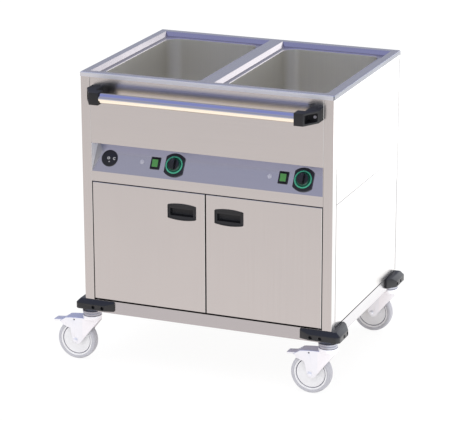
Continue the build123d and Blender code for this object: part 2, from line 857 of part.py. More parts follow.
# Push bar and its two brackets, a left one and a right one that spread outwards to the fascia
bar_y = front_y - bar_standoff
bar_half = bracket_span + bar_seat
with BuildPart() as push_bar:
    bar_line = Plane(origin=(0, bar_y, bar_z), x_dir=(0, 1, 0), z_dir=(1, 0, 0))
    rod(bar_line, bar_radius, -bar_half, bar_half)
    rod(bar_line, bar_radius - bar_wall, -2 * bar_half, 2 * bar_half, Mode.SUBTRACT)
save(push_bar, "push_bar")

nose_y = front_y - bracket_reach
bracket_top = worktop_top - bracket_top_drop
bracket_bottom = worktop_top - bracket_bottom_drop
for side, sign in sides.items():
    inner = sign * bracket_span
    outer = inner + sign * bracket_base
    with BuildPart() as bracket:
        plan = outline(
            Plane.XY.offset(bracket_bottom),
            [
                (inner, nose_y),
                (inner + sign * bracket_width, nose_y),
                (outer, front_y - bracket_foot),
                (outer, front_y),
                (inner, front_y),
            ],
        )
        extrude(plan, amount=bracket_top - bracket_bottom)
        fillet(bracket.edges().filter_by(Axis.Z).group_by(Axis.Y)[0], bracket_round)
        chamfer(bracket.faces().sort_by(Axis.Z)[-1].edges().sort_by(Axis.Y)[:-1], bracket_chamfer)
        slab(
            (inner + sign * (bar_seat + pocket_wall), nose_y + pocket_wall, bar_z - pocket_height / 2),
            (outer - sign * pocket_wall, front_y - bracket_foot, bar_z + pocket_height / 2),
            Mode.SUBTRACT,
        )
        hole = screw_shank + screw_play
        rod(bracket_screws[side], hole, 0, bracket_foot + pocket_wall, Mode.SUBTRACT)
        low, high = sorted((inner - sign * bracket_width, inner + sign * bar_seat))
        rod(bar_line, bar_radius + shaft_play, low, high, Mode.SUBTRACT)
    save(bracket, f"push_bar_bracket_{side}")

# Screws of the bumpers and the brackets
with BuildPart() as screws:
    for line, seat, length in (
        *((line, bumper_screw_seat, screw_length) for line in bumper_screws),
        *((line, bracket_foot, bracket_screw_length) for line in bracket_screws.values()),
    ):
        rod(line, screw_shank, seat - length, seat)
        rod(line, screw_head, seat, seat + screw_head_height)
        with BuildSketch(line.offset(seat + screw_head_height)):
            RegularPolygon(screw_shank, 6)
        extrude(amount=-screw_head_height / 2, mode=Mode.SUBTRACT)
save(screws, "screws")

# Hinge pins, fixed in the lintel above and in the base frame below
with BuildPart() as hinge_pins:
    for sign in sides.values():
        upper = Plane(origin=(sign * hinge_x, hinge_y, lintel_bottom))
        rod(upper, pin_radius, -door_top_gap - pin_reach, control_sheet)
        rod(upper, pin_head, control_sheet, control_sheet + pin_head_height)
        lower = Plane(origin=(sign * hinge_x, hinge_y, chassis_top))
        rod(lower, pin_radius, -chassis_sheet - pin_head_height, door_bottom_gap + pin_reach)
        rod(lower, pin_collar, 0, door_bottom_gap - collar_gap)
save(hinge_pins, "hinge_pins")

# Magnetic catches under the cupboard ceiling, just behind the doors
with BuildPart() as magnetic_catches:
    for sign in sides.values():
        front = front_y + door_depth + catch_gap
        slab(
            (sign * catch_offset - catch_width / 2, front, shelf_bottom),
            (sign * catch_offset + catch_width / 2, front + catch_depth, shelf_bottom - catch_height),
        )
    fillet(magnetic_catches.edges().filter_by(Axis.X).group_by(Axis.Z)[0], catch_round)
save(magnetic_catches, "magnetic_catches")

# Doors: folded skin, liner and a recessed grip, hung on the pins
for side, sign in sides.items():
    near, far = sorted((sign * door_middle_gap / 2, sign * door_side_x))
    back_y = front_y + door_depth
    grip_face = Plane(origin=(sign * grip_x, front_y, grip_z), x_dir=(1, 0, 0), z_dir=(0, -1, 0))
    cup_width = grip_width - 2 * grip_border
    cup_height = grip_side - 2 * grip_border
    with BuildPart() as skin:
        slab((near, front_y, door_bottom), (far, back_y, door_top))
        fillet(skin.faces().sort_by(Axis.Y)[0].edges(), door_edge)
        slab(
            (near + door_sheet, front_y + door_sheet, door_bottom + door_sheet),
            (far - door_sheet, 2 * door_depth + front_y, door_top - door_sheet),
            Mode.SUBTRACT,
        )
        with BuildSketch(grip_face):
            Rectangle(cup_width + 2 * shaft_play, cup_height + 2 * shaft_play)
        extrude(amount=-2 * door_sheet, mode=Mode.SUBTRACT)
        pins = Plane(origin=(sign * hinge_x, hinge_y, 0))
        rod(pins, pin_radius + shaft_play, 0, worktop_top, Mode.SUBTRACT)
    save(skin, f"door_{side}_skin")

    with BuildPart() as liner:
        inset = door_sheet + shelf_play
        slab(
            (near + inset, back_y - door_sheet, door_bottom + inset),
            (far - inset, back_y, door_top - inset),
        )
    save(liner, f"door_{side}_liner")

    with BuildPart() as grip:
        half, side_half = grip_width / 2, grip_side / 2
        with BuildSketch(grip_face) as flange:
            with BuildLine():
                Line((half, -side_half), (half, side_half))
                ThreePointArc((half, side_half), (0, side_half + grip_crown), (-half, side_half))
                Line((-half, side_half), (-half, -side_half))
                ThreePointArc((-half, -side_half), (0, -side_half - grip_crown), (half, -side_half))
            make_face()
            fillet(flange.vertices(), grip_corner)
        extrude(amount=grip_flange)
        fillet(grip.faces().sort_by(Axis.Y)[0].edges(), grip_flange / 2)
        with BuildSketch(grip_face):
            Rectangle(cup_width, cup_height)
        extrude(amount=-grip_depth - grip_wall)
        with BuildSketch(grip_face.offset(grip_flange)):
            Rectangle(cup_width - 2 * grip_wall, cup_height - 2 * grip_wall)
        extrude(amount=-grip_depth - grip_flange, mode=Mode.SUBTRACT)
    save(grip, f"door_{side}_grip")

# Castors
tyre_inner = wheel_radius - tyre_height
fork_inside = fork_width / 2 - fork_sheet
crown_under = wheel_radius + fork_roof
swivel_top = wheel_radius + crown_top + swivel_height
kingpin_foot = crown_under - race_gap - kingpin_head_height - castor_height
race_foot = swivel_top - race_recess + race_gap - castor_height

with BuildPart() as castor_kingpins:
    for sign in sides.values():
        for y in pivot_y.values():
            king = Plane(origin=(sign * pivot_x, y, castor_height))
            inside = chassis_sheet + castor_plate_sheet
            rod(king, race_radius, race_foot, 0)
            rod(king, kingpin_radius, kingpin_foot, inside)
            rod(king, kingpin_head, kingpin_foot, kingpin_foot + kingpin_head_height)
            with BuildSketch(king.offset(inside)):
                RegularPolygon(kingpin_nut, 6)
            extrude(amount=kingpin_nut_height)
save(castor_kingpins, "castor_kingpins")

leading_foot = (leg_front, 0)
leading_head = (wheel_trail + swivel_radius, fork_roof)
leading_length = hypot(leading_head[0] - leading_foot[0], leading_head[1] - leading_foot[1])
leading_run = (leading_head[0] - leading_foot[0]) / leading_length
leading_rise = (leading_head[1] - leading_foot[1]) / leading_length
web_shift = (-fork_sheet * leading_rise, fork_sheet * leading_run)
roof_end = (-roof_reach, crown_top - roof_drop)
wheel_room = wheel_radius + fork_sheet
pedal_pivot = (-pedal_pin_offset, wheel_radius + pedal_pin_rise)


def shoe_point(reach):
    """Where a point of the flat brake shoe rests, from where it lies beside the tyre with the pedal down."""
    turn = radians(pedal_throw)
    lean = asin(shoe_contact / (wheel_radius + shoe_gap))
    x = -reach - pedal_pivot[0]
    z = (wheel_radius + shoe_gap - reach * sin(lean)) / cos(lean) - pedal_pivot[1]
    return (pedal_pivot[0] + x * cos(turn) + z * sin(turn), pedal_pivot[1] - x * sin(turn) + z * cos(turn))


def fork_plan(inset):
    """The fork seen from above, closing towards a round nose, drawn in from its outside by inset."""
    half = fork_width / 2 - inset
    tip = leading_head[0]
    tip_half = half - (tip - fork_nose) * tan(radians(fork_nose_turn))
    with BuildSketch(Plane.XY) as plan:
        with Locations((wheel_trail, 0)):
            Circle(swivel_radius - inset)
            Rectangle(4 * hood_reach, fork_width, align=(Align.MAX, Align.CENTER))
        with BuildLine():
            Polyline(
                (-4 * hood_reach, -half),
                (fork_nose, -half),
                (tip, -tip_half),
                (tip, tip_half),
                (fork_nose, half),
                (-4 * hood_reach, half),
                close=True,
            )
        make_face(mode=Mode.INTERSECT)
    return plan.sketch


# The space between a fork's cheeks, with the axle at the origin
with BuildPart() as fork_room:
    with BuildSketch(Plane.XZ):
        with BuildLine():
            Polyline(
                (roof_end[0], roof_end[1] - fork_sheet),
                (roof_end[0], 2 * crown_top),
                (-2 * hood_reach, 2 * crown_top),
                (-2 * hood_reach, -2 * leg_drop),
                (leg_front, -2 * leg_drop),
                (leading_foot[0] + web_shift[0], leading_foot[1] + web_shift[1]),
                (leading_head[0] + web_shift[0], fork_roof),
                (fork_nose, fork_roof),
            )
            ThreePointArc(
                (fork_nose, fork_roof),
                (0, fork_roof - roof_sag),
                (roof_end[0], roof_end[1] - fork_sheet),
            )
        make_face()
        Circle(wheel_room)
    extrude(amount=fork_width, both=True)
    extrude(fork_plan(fork_sheet), amount=castor_height, both=True, mode=Mode.INTERSECT)

# One fork, pressed from sheet, with the round swivel head on its crown
with BuildPart() as fork_shape:
    with BuildSketch(Plane.XZ):
        with BuildLine():
            Polyline((fork_nose, crown_top), (leading_head[0], crown_top), leading_head, leading_foot)
            ThreePointArc(leading_foot, ((leg_front - leg_foot) / 2, -leg_drop), (-leg_foot, 0))
            Polyline(
                (-leg_foot, 0),
                (-leg_back, leg_back_rise),
                (-hood_under_reach, crown_top - hood_under_drop),
                (-hood_reach, crown_top - hood_tip_drop),
                roof_end,
            )
            ThreePointArc(roof_end, (0, crown_top - roof_sag), (fork_nose, crown_top))
        make_face()
    extrude(amount=fork_width, both=True)
    extrude(fork_plan(0), amount=castor_height, both=True, mode=Mode.INTERSECT)
    ridge = fork_shape.edges().filter_by(lambda e: e.center().Z > crown_top - hood_tip_drop)
    ridge = ridge.filter_by(lambda e: abs(abs(e.center().Y) - fork_width / 2) < fork_sheet / 10)
    fillet(ridge.filter_by(lambda e: e.center().X < fork_nose - fork_sheet), fork_round)
    crown = Plane(origin=(wheel_trail, 0, crown_top))
    rod(crown, swivel_radius, -fork_sheet, swivel_height)
    rod(crown, race_seat, swivel_height - race_recess, swivel_height, Mode.SUBTRACT)
    add(fork_room.part, mode=Mode.SUBTRACT)
    rod(crown, kingpin_radius + shaft_play, -crown_top, crown_top, Mode.SUBTRACT)
    rod(Plane.XZ, axle_radius + shaft_play, -fork_width, fork_width, Mode.SUBTRACT)

for end, y in pivot_y.items():
    for side, sign in sides.items():
        name = f"castor_{end}_{side}"
        axle = (sign * pivot_x - wheel_trail, y, wheel_radius)
        profile = Plane(origin=axle, x_dir=(1, 0, 0), z_dir=(0, -1, 0))
        across = Plane(origin=axle, x_dir=(0, 1, 0), z_dir=(1, 0, 0))

        with BuildPart() as fork:
            add(fork_shape.part.moved(Location(axle)))
            if end == "front":
                with BuildSketch(profile):
                    with Locations(pedal_pivot):
                        Circle(pedal_pin + shaft_play)
                extrude(amount=fork_width, both=True, mode=Mode.SUBTRACT)
        save(fork, f"{name}_fork")

        with BuildPart() as axle_bolt:
            half = fork_width / 2
            rod(profile, axle_radius, -half, half)
            for sense in (-1, 1):
                rod(profile, axle_cap, sense * half, sense * (half + axle_cap_height))
            fillet(axle_bolt.faces().filter_by(Axis.Y).sort_by(Axis.Y)[0].edges(), axle_cap_height / 2)
        save(axle_bolt, f"{name}_axle")

        with BuildPart() as rim:
            hub_half = fork_inside - hub_play
            tyre_half = tyre_width / 2 - tyre_seat_inset
            groove_in = rim_groove_radius - rim_groove / 2
            groove_out = rim_groove_radius + rim_groove / 2
            bore = axle_radius + shaft_play
            half_profile = [
                (hub_half, bore),
                (hub_half, hub_radius),
                (rim_half - rim_dish, hub_radius + rim_dish),
                (rim_half - rim_dish, groove_in),
                (rim_half - rim_groove_depth, groove_in),
                (rim_half - rim_groove_depth, groove_out),
                (rim_half, groove_out),
                (tyre_half, tyre_inner),
            ]
            mirrored = [(-a, r) for a, r in half_profile[::-1]]
            revolve(outline(across, half_profile + mirrored), axis=Axis(axle, (0, 1, 0)))
        save(rim, f"{name}_rim")

        with BuildPart() as tyre:
            shoulder = wheel_radius - tread_drop
            half = tyre_width / 2
            with BuildSketch(across):
                with BuildLine():
                    Polyline(
                        (half - tread_drop / 2, shoulder),
                        (half, shoulder - tread_drop / 2),
                        (half, tyre_inner + tread_drop / 2),
                        (tyre_half, tyre_inner),
                        (-tyre_half, tyre_inner),
                        (-half, tyre_inner + tread_drop / 2),
                        (-half, shoulder - tread_drop / 2),
                        (-half + tread_drop / 2, shoulder),
                    )
                    ThreePointArc(
                        (-half + tread_drop / 2, shoulder),
                        (0, wheel_radius),
                        (half - tread_drop / 2, shoulder),
                    )
                make_face()
            revolve(axis=Axis(axle, (0, 1, 0)))
        save(tyre, f"{name}_tyre")

        if end == "rear":
            continue
        with BuildPart() as pedal:
            root_z = pedal_pivot[1] + pedal_hub
            exit_z = crown_top - hood_tip_drop + pedal_exit_rise
            tip_x, tip_z = -pedal_reach, wheel_radius - pedal_tip_drop
            with BuildSketch(profile):
                with BuildLine():
                    Polyline(
                        (pedal_pivot[0], root_z),
                        (-hood_reach, exit_z),
                        (tip_x, tip_z),
                        (tip_x + pedal_sheet / 2, tip_z - pedal_sheet),
                        (-hood_reach, exit_z - pedal_sheet),
                        shoe_point(shoe_end),
                        shoe_point(pedal_pin_offset),
                        close=True,
                    )
                make_face()
                with Locations(pedal_pivot):
                    Circle(pedal_hub)
            extrude(amount=pedal_width / 2, both=True)
            with BuildSketch(profile):
                with Locations(pedal_pivot):
                    Circle(pedal_pin)
            extrude(amount=fork_width / 2 - pedal_pin_recess, both=True)
        save(pedal, f"{name}_pedal")
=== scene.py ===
# %% [markdown]
# # A mobile bain-marie, dressed for a catalogue picture
# The trolley keeps food warm in two water baths that are sunk in its top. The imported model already
# has its size, its joints and its solids, and this lesson gives it the looks of the real thing:
# brushed stainless sheet, black mouldings, a few coloured plastics and bright castors. Sheet-metal
# solids stay and get a finish. Mouldings, dials and wheels have soft edges and small forms, so they
# are modelled here and stand in for their solids.

# %% Load the trolley
import json
import math

import bmesh
import bpy
from mathutils import Matrix, Vector


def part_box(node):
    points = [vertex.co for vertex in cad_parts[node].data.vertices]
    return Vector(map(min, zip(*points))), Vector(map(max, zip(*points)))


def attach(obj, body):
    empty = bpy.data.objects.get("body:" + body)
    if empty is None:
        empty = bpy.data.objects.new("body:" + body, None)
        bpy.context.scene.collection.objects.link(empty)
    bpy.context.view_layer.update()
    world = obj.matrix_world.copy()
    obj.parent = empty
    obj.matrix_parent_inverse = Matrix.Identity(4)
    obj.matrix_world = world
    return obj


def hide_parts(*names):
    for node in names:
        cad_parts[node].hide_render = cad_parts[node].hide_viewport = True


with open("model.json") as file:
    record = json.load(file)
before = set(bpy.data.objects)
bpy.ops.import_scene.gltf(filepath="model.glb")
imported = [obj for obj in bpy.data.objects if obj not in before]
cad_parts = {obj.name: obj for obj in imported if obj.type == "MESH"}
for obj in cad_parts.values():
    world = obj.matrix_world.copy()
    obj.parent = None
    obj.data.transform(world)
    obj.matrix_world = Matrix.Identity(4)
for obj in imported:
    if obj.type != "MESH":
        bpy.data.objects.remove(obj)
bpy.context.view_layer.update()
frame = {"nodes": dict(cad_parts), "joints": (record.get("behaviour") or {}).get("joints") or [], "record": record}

nodes = frame["nodes"]
joints = {joint["name"]: joint for joint in frame["joints"]}
slots = {row["node"]: row["material_slot"] for row in frame["record"]["subparts"]}

# %% [markdown]
# ## The camera
# The picture was taken from the front right, a little above the rim, with a long lens, so that
# upright edges stay almost parallel. A camera could be aimed with a Track To constraint, but the
# angles are known from the cabinet's straight edges, so it is turned by its azimuth, its elevation
# and a very small roll.

# %% Camera at the picture's angle
azimuth, elevation, roll = (math.radians(angle) for angle in (22.13, 17.45, -0.16))
camera_place = (2.4408, -6.1024, 2.5066)
camera_data = bpy.data.cameras.new("camera")
camera_data.sensor_width = 36.0
camera_data.lens = 174.49
camera_data.clip_end = 60.0
camera = bpy.data.objects.new("camera", camera_data)
bpy.context.scene.collection.objects.link(camera)
turn = Matrix.Rotation(azimuth, 4, "Z") @ Matrix.Rotation(math.pi / 2 - elevation, 4, "X")
camera.matrix_world = Matrix.Translation(camera_place) @ turn @ Matrix.Rotation(roll, 4, "Z")
bpy.context.scene.camera = camera
bpy.context.scene.view_settings.view_transform = "Standard"
print("camera looks along", [round(v, 3) for v in camera.matrix_world.to_3x3() @ Vector((0, 0, -1))])


# %% [markdown]
# ## Helpers for materials
# Colours are written the way a picture editor shows them, as sRGB hex values, and Blender's shaders
# want linear light, so one function converts them. Another adds a shader node, sets its options and
# fills or links its inputs, which keeps each material a short list of what it is made of. A Mix node
# has a pair of inputs for every kind of value, so its inputs go by number: 6 and 7 are its colours, 2
# and 3 its numbers.

# %% Material helpers
MM = 0.001


def srgb(code):
    """A hex colour as linear red, green, blue and alpha."""
    parts = [int(code[i:i + 2], 16) / 255 for i in (1, 3, 5)]
    return tuple(p / 12.92 if p <= 0.04045 else ((p + 0.055) / 1.055) ** 2.4 for p in parts) + (1.0,)


def add(tree, kind, inputs=None, **options):
    """Adds a node to a tree, sets its options, and fills or links its inputs."""
    node = tree.nodes.new(kind)
    for option, value in options.items():
        setattr(node, option, value)
    for socket, value in (inputs or {}).items():
        if isinstance(value, bpy.types.NodeSocket):
            tree.links.new(value, node.inputs[socket])
        else:
            node.inputs[socket].default_value = value
    return node


def blank(name):
    """A new material with an empty tree and its output node."""
    material = bpy.data.materials.new(name)
    material.use_nodes = True
    tree = material.node_tree
    tree.nodes.clear()
    return material, tree, tree.nodes.new("ShaderNodeOutputMaterial")


print("helpers ready, mid grey is", [round(v, 3) for v in srgb("#808080")])

# %% [markdown]
# ## Brushed stainless steel
# The cabinet is 18/10 stainless sheet, brushed with a fine belt. The belt leaves long parallel
# scratches, which the eye sees as faint streaks in the gloss and as reflections that are drawn out
# across them. A real scratch is about 0.1 mm wide, far too fine for this picture, so the streaks are
# drawn 1.2 mm wide and some 300 mm long. A second, much larger noise stands for the uneven pressure
# of the belt. An image of brushed metal would tile and stretch. Noise that is squeezed along one axis
# does neither.


# %% Brushed stainless, with its grain along one axis
def brushed_metal(name, along, tint="#C3C1C0", low=0.17, high=0.27, mark=1.2, run=300.0):
    """Sheet metal with belt marks along axis 0, 1 or 2; a mark's width and run are in millimetres."""
    belt_cloud, scratch_depth = 160.0, 0.05
    material, tree, output = blank(name)
    stretch = [1 / (mark * MM)] * 3
    stretch[along] = 1 / (run * MM)
    place = add(tree, "ShaderNodeTexCoord").outputs["Object"]
    mapped = add(tree, "ShaderNodeMapping", {"Vector": place, "Scale": stretch}).outputs["Vector"]
    streaks = add(
        tree, "ShaderNodeTexNoise", {"Vector": mapped, "Scale": 1.0, "Detail": 3.0}
    ).outputs["Fac"]
    clouds = add(
        tree, "ShaderNodeTexNoise", {"Vector": place, "Scale": 1 / (belt_cloud * MM), "Detail": 2.0}
    ).outputs["Fac"]
    both = add(tree, "ShaderNodeMath", {0: streaks, 1: clouds}, operation="ADD").outputs[0]
    rough = add(
        tree, "ShaderNodeMapRange",
        {"Value": both, "From Min": 0.6, "From Max": 1.4, "To Min": low, "To Max": high},
    ).outputs[0]
    shade = add(
        tree, "ShaderNodeMapRange",
        {"Value": streaks, "From Min": 0.3, "From Max": 0.7, "To Min": 0.955, "To Max": 1.0},
    ).outputs[0]
    colour = add(
        tree, "ShaderNodeMix", {"Factor": 1.0, 6: srgb(tint), 7: shade},
        data_type="RGBA", blend_type="MULTIPLY",
    ).outputs[2]
    bump = add(
        tree, "ShaderNodeBump", {"Height": streaks, "Strength": 0.06, "Distance": scratch_depth * MM}
    ).outputs[0]
    metal = add(
        tree, "ShaderNodeBsdfPrincipled",
        {"Base Color": colour, "Metallic": 1.0, "Roughness": rough, "Normal": bump},
    )
    tree.links.new(metal.outputs[0], output.inputs[0])
    return material


print("recipe for brushed metal ready")

# %% [markdown]
# One recipe serves every bare metal here, and they differ in tint and in how far their gloss spreads.
# The fascia's tinted fold and the satin tanks spread it far, so the tanks look pale and even. The lips
# are duller than the sheet, and the polished tube is nearly a mirror. Turned brass, aluminium plate
# and blackened steel are out of sight or show as small dots. A tint also makes up for the room: where
# steel mirrors less light here than in the picture it is paler, as on the front lip, and where it
# mirrors more it is darker, as on the side lip and on the worktop. These tints, the fascia's cool fold
# and the tube's warm lower half are painted light, shade and reflection.

# %% Metal finishes
steel_across = brushed_metal("stainless_brushed_across", 0)
steel_upright = brushed_metal("stainless_brushed_upright", 2)
# Painted shade: a cool, bluer tint for the fold under the fascia.
painted_shade_under_fascia = brushed_metal("stainless_fold_painted_shade", 0, tint="#C1C8E6", low=0.3, high=0.4)
# Painted shade: the worktop's steel is tinted darker than the other sheet.
painted_shade_worktop = brushed_metal("stainless_worktop_painted_shade", 0, tint="#BCB5B4")
steel_base = brushed_metal("stainless_brushed_base", 0, tint="#B5B4B6")
tank_satin = brushed_metal("stainless_satin_tank", 2, tint="#EBE8DC", low=0.4, high=0.5)
# The lips' tints are painted light and shade: paler on the front lip, a painted highlight on its bend, darker on
# the side lip and its bend.
lip_front_painted_light = brushed_metal("stainless_front_lip_painted_light", 0, tint="#D8DADF", low=0.4, high=0.5)
fillet_front_painted_highlight = brushed_metal("stainless_front_fillet_painted_highlight", 0, tint="#FFFCEE", low=0.4, high=0.5)
fillet_side_painted_shade = brushed_metal("stainless_side_fillet_painted_shade", 1, tint="#BABBC1", low=0.4, high=0.5)
lip_side_painted_shade = brushed_metal("stainless_side_lip_painted_shade", 1, tint="#7A7C82", low=0.4, high=0.5)
bar_polish = brushed_metal("stainless_polished_tube", 0, tint="#C5C4CC", low=0.05, high=0.1)
# Painted reflection: the warm floor, tinted into the tube's lower half.
bar_painted_reflection = brushed_metal("stainless_tube_painted_reflection", 0, tint="#FCF5E4", low=0.05, high=0.1)
valve_brass = brushed_metal("brass_turned", 2, tint="#C9A75A", low=0.2, high=0.32)
heater_plate = brushed_metal("aluminium_plate", 0, tint="#C4C5C8", low=0.35, high=0.45)
pin_steel = brushed_metal("steel_blackened", 2, tint="#4A4A4E", low=0.3, high=0.4, mark=0.6, run=20.0)
print("metal finishes:", len(bpy.data.materials))

# %% [markdown]
# ## Mouldings
# The bumpers, brackets, grips and knobs are black nylon or ABS from a tool with a fine spark-eroded
# texture: a dull gloss with a grain of about 0.8 mm. The coloured pieces are ABS or polycarbonate
# from a polished tool, so the same recipe serves them with a lower roughness and hardly any grain.


# %% Moulded plastic and rubber
def moulded_plastic(name, code, rough=0.42, grain=0.8, depth=0.05, coat=0.0):
    """Injection-moulded plastic with a fine grain, sized in millimetres."""
    flow_width, flow_shade, gloss_spread = 45.0, 0.86, 0.06
    material, tree, output = blank(name)
    place = add(tree, "ShaderNodeTexCoord").outputs["Object"]
    pores = add(
        tree, "ShaderNodeTexNoise", {"Vector": place, "Scale": 1 / (grain * MM), "Detail": 2.0}
    ).outputs["Fac"]
    flow = add(
        tree, "ShaderNodeTexNoise", {"Vector": place, "Scale": 1 / (flow_width * MM), "Detail": 2.0}
    ).outputs["Fac"]
    dark = [v * flow_shade for v in srgb(code)[:3]] + [1.0]
    colour = add(
        tree, "ShaderNodeMix", {"Factor": flow, 6: dark, 7: srgb(code)}, data_type="RGBA"
    ).outputs[2]
    gloss = add(
        tree, "ShaderNodeMapRange",
        {
            "Value": pores, "From Min": 0.3, "From Max": 0.7,
            "To Min": rough - gloss_spread, "To Max": rough + gloss_spread,
        },
    ).outputs[0]
    bump = add(
        tree, "ShaderNodeBump", {"Height": pores, "Strength": 0.25, "Distance": depth * MM}
    ).outputs[0]
    skin = add(
        tree, "ShaderNodeBsdfPrincipled",
        {"Base Color": colour, "Roughness": gloss, "IOR": 1.5, "Coat Weight": coat, "Normal": bump},
    )
    tree.links.new(skin.outputs[0], output.inputs[0])
    return material


print("recipe for mouldings ready")

# %% [markdown]
# Textured nylon is dull, and the grips and brackets are duller still. ABS is satin, so the knobs and
# bezels keep a clear highlight. Green lenses, teal rings and clear lamps come from a polished tool
# and shine, and the deep teal of the knobs' skirts is painted shade. White nylon and printed marks are
# matt. Rubber, and the dark painted shade in the wheels' grooves and along the side seams, show hardly
# any highlight.

# %% Plastics and rubbers
black_nylon = moulded_plastic("nylon_black_textured", "#1F2124")
nylon_dull = moulded_plastic("nylon_black_dull", "#16171A", rough=0.58)
black_abs = moulded_plastic("abs_black_satin", "#141519", rough=0.3, depth=0.02)
green_lens = moulded_plastic("polycarbonate_green", "#4E9448", rough=0.25, depth=0.01)
ring_teal = moulded_plastic("abs_teal_gloss", "#43B08C", rough=0.3, depth=0.01)
# Painted shade: the deep teal of the knobs' skirts.
skirt_painted_shade = moulded_plastic("abs_teal_painted_shade", "#12503F", rough=0.3, depth=0.01)
mark_white = moulded_plastic("printed_white", "#E6E6E6", rough=0.5, depth=0.01)
mark_grey = moulded_plastic("moulded_grey_mark", "#4A4C52", rough=0.5, depth=0.01)
lamp_clear = moulded_plastic("polycarbonate_lamp", "#C2C2CE", rough=0.2, depth=0.01)
rim_nylon = moulded_plastic("nylon_white", "#FFFFFF", rough=0.4, depth=0.02)
# Painted shade: the dark grey ring in the wheels' groove.
groove_shade_finish = moulded_plastic("groove_painted_shade_grey", "#6C6A7C", rough=0.7)
# Painted shade: the dark strips and beads in the side seams.
seam_painted_shade = moulded_plastic("dark_grey_seam_shade", "#3E3E42", rough=0.7)
tyre_rubber = moulded_plastic("rubber_tyre_grey", "#CFCFD4", rough=0.7, grain=1.5, depth=0.1)
terminal_grey = moulded_plastic("polyamide_terminal", "#D4D4CE", rough=0.5)
print("plastics made, materials in all:", len(bpy.data.materials))

# %% [markdown]
# ## Bright zinc on the castors
# The forks and brake pedals are pressed from sheet and bright zinc plated, with a thin clear film
# over the zinc. The film scatters light, so the plating looks pale and slightly blue instead of like
# a mirror. Part metal and part pale diffuse gives that. Plating hides the sheet's own grain, so only
# a soft cloudiness of some 12 mm is left in the gloss. The recipe also gives the control panel's
# pale, nearly white cheek, which is painted light.


# %% Plated steel
def plated_steel(name, code, metal, rough):
    """Bright plating under a clear film, cloudy on the scale of a few millimetres."""
    cloud_width, cloud_shade, gloss_spread = 12.0, 0.96, 0.05
    material, tree, output = blank(name)
    place = add(tree, "ShaderNodeTexCoord").outputs["Object"]
    clouds = add(
        tree, "ShaderNodeTexNoise", {"Vector": place, "Scale": 1 / (cloud_width * MM), "Detail": 3.0}
    ).outputs["Fac"]
    gloss = add(
        tree, "ShaderNodeMapRange",
        {
            "Value": clouds, "From Min": 0.3, "From Max": 0.7,
            "To Min": rough - gloss_spread, "To Max": rough + gloss_spread,
        },
    ).outputs[0]
    duller = [v * cloud_shade for v in srgb(code)[:3]] + [1.0]
    colour = add(
        tree, "ShaderNodeMix", {"Factor": clouds, 6: duller, 7: srgb(code)}, data_type="RGBA"
    ).outputs[2]
    plating = add(
        tree, "ShaderNodeBsdfPrincipled", {"Base Color": colour, "Metallic": metal, "Roughness": gloss}
    )
    tree.links.new(plating.outputs[0], output.inputs[0])
    return material


zinc_bright = plated_steel("zinc_bright_film", "#F6F8FD", 0.45, 0.34)
# Painted light: the paler tint of the forks' bent flanges.
flange_painted_light = plated_steel("flange_plating_painted_light", "#FBFBFF", 0.45, 0.34)
# Dull zinc on kingpins, screws and race covers; on the forks' downward faces it is painted shade.
zinc_dull_and_painted_shade = plated_steel("zinc_dull_and_painted_shade", "#A8A9B2", 0.9, 0.36)
# Painted reflection of the sky: the bluer tint on the tops of the forks and pedals.
painted_sky_on_tops = plated_steel("zinc_top_painted_reflection", "#C3C5DC", 0.7, 0.36)
# Painted light: the control panel's pale, nearly white cheek.
pale_cheek_painted_light = plated_steel("stainless_cheek_painted_light", "#FFFFFF", 0.1, 0.4)
print("plating made, materials in all:", len(bpy.data.materials))

# %% [markdown]
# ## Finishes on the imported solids
# Every solid first gets a finish by what it is made of. Sheets are brushed along their longer side:
# the fascia, the sloped panel and the base frame across, the posts, doors and side panels upright. A
# finish could be set solid by solid, but a table by material slot, with a few exceptions by name,
# can't miss one.

# %% Give every solid its finish
by_node = {
    **dict.fromkeys(
        ("front_fascia", "control_panel", "cupboard_ceiling", "cupboard_floor"), steel_across,
    ),
    "worktop": painted_shade_worktop,
    "chassis": steel_base,
    **dict.fromkeys(("screws", "hinge_pins"), pin_steel),
    "castor_kingpins": zinc_dull_and_painted_shade,
}
by_slot = {
    "stainless_sheet": steel_upright, "tank_steel": tank_satin, "polished_tube": bar_polish,
    "black_plastic": black_nylon, "green_plastic": green_lens, "ring_plastic": ring_teal,
    "lamp_lens": lamp_clear, "zinc_steel": zinc_bright, "rim_plastic": rim_nylon,
    "tyre_rubber": tyre_rubber, "valve_brass": valve_brass, "heater_aluminium": heater_plate,
    "terminal_plastic": terminal_grey,
}
for name, solid in nodes.items():
    solid.data.materials.clear()
    solid.data.materials.append(by_node.get(name) or by_slot[slots[name]])
print("finishes given to", len(nodes), "solids")

# %% [markdown]
# Some solids carry more than one finish. Their meshes stay as they are, so whole faces are chosen by
# their middle p and their normal n, which has a length of 1: a face with n.z above 0.9 looks up. The
# fold under the fascia gets a cooler, bluer tint, which is painted shade, and the sloped panel below
# mirrors it. The panel's left cheek is pale, nearly white, which is painted light. The worktop's lips
# are duller, and their tints are painted light and shade: paler on the front lip, with a painted
# highlight on its bend, and darker on the side lip. Its collars are as satin as the tanks. The push
# bar's screws are plated, while the bumpers' are blackened. The bar's lower half mirrors the floor and
# is a little warmer than the upper, which is a painted reflection of the floor.


# %% Second finishes
def finish_faces(piece, finish, test):
    """Gives one more finish to the faces of a piece whose middle and normal pass a test."""
    mesh = piece.data
    mesh.materials.append(finish)
    chosen = [face for face in mesh.polygons if test(face.center, face.normal)]
    for face in chosen:
        face.material_index = len(mesh.materials) - 1
    print(len(chosen), "faces of", piece.name, "get", finish.name)


tank_low, tank_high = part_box("tank_left")
lip_y, lip_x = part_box("worktop")[0].y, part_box("worktop")[1].x
lip_reach, collar_margin = 4 * MM, 3 * MM
collar_x, collar_y = collar_margin - tank_low.x, collar_margin + tank_high.y
worktop = nodes["worktop"]
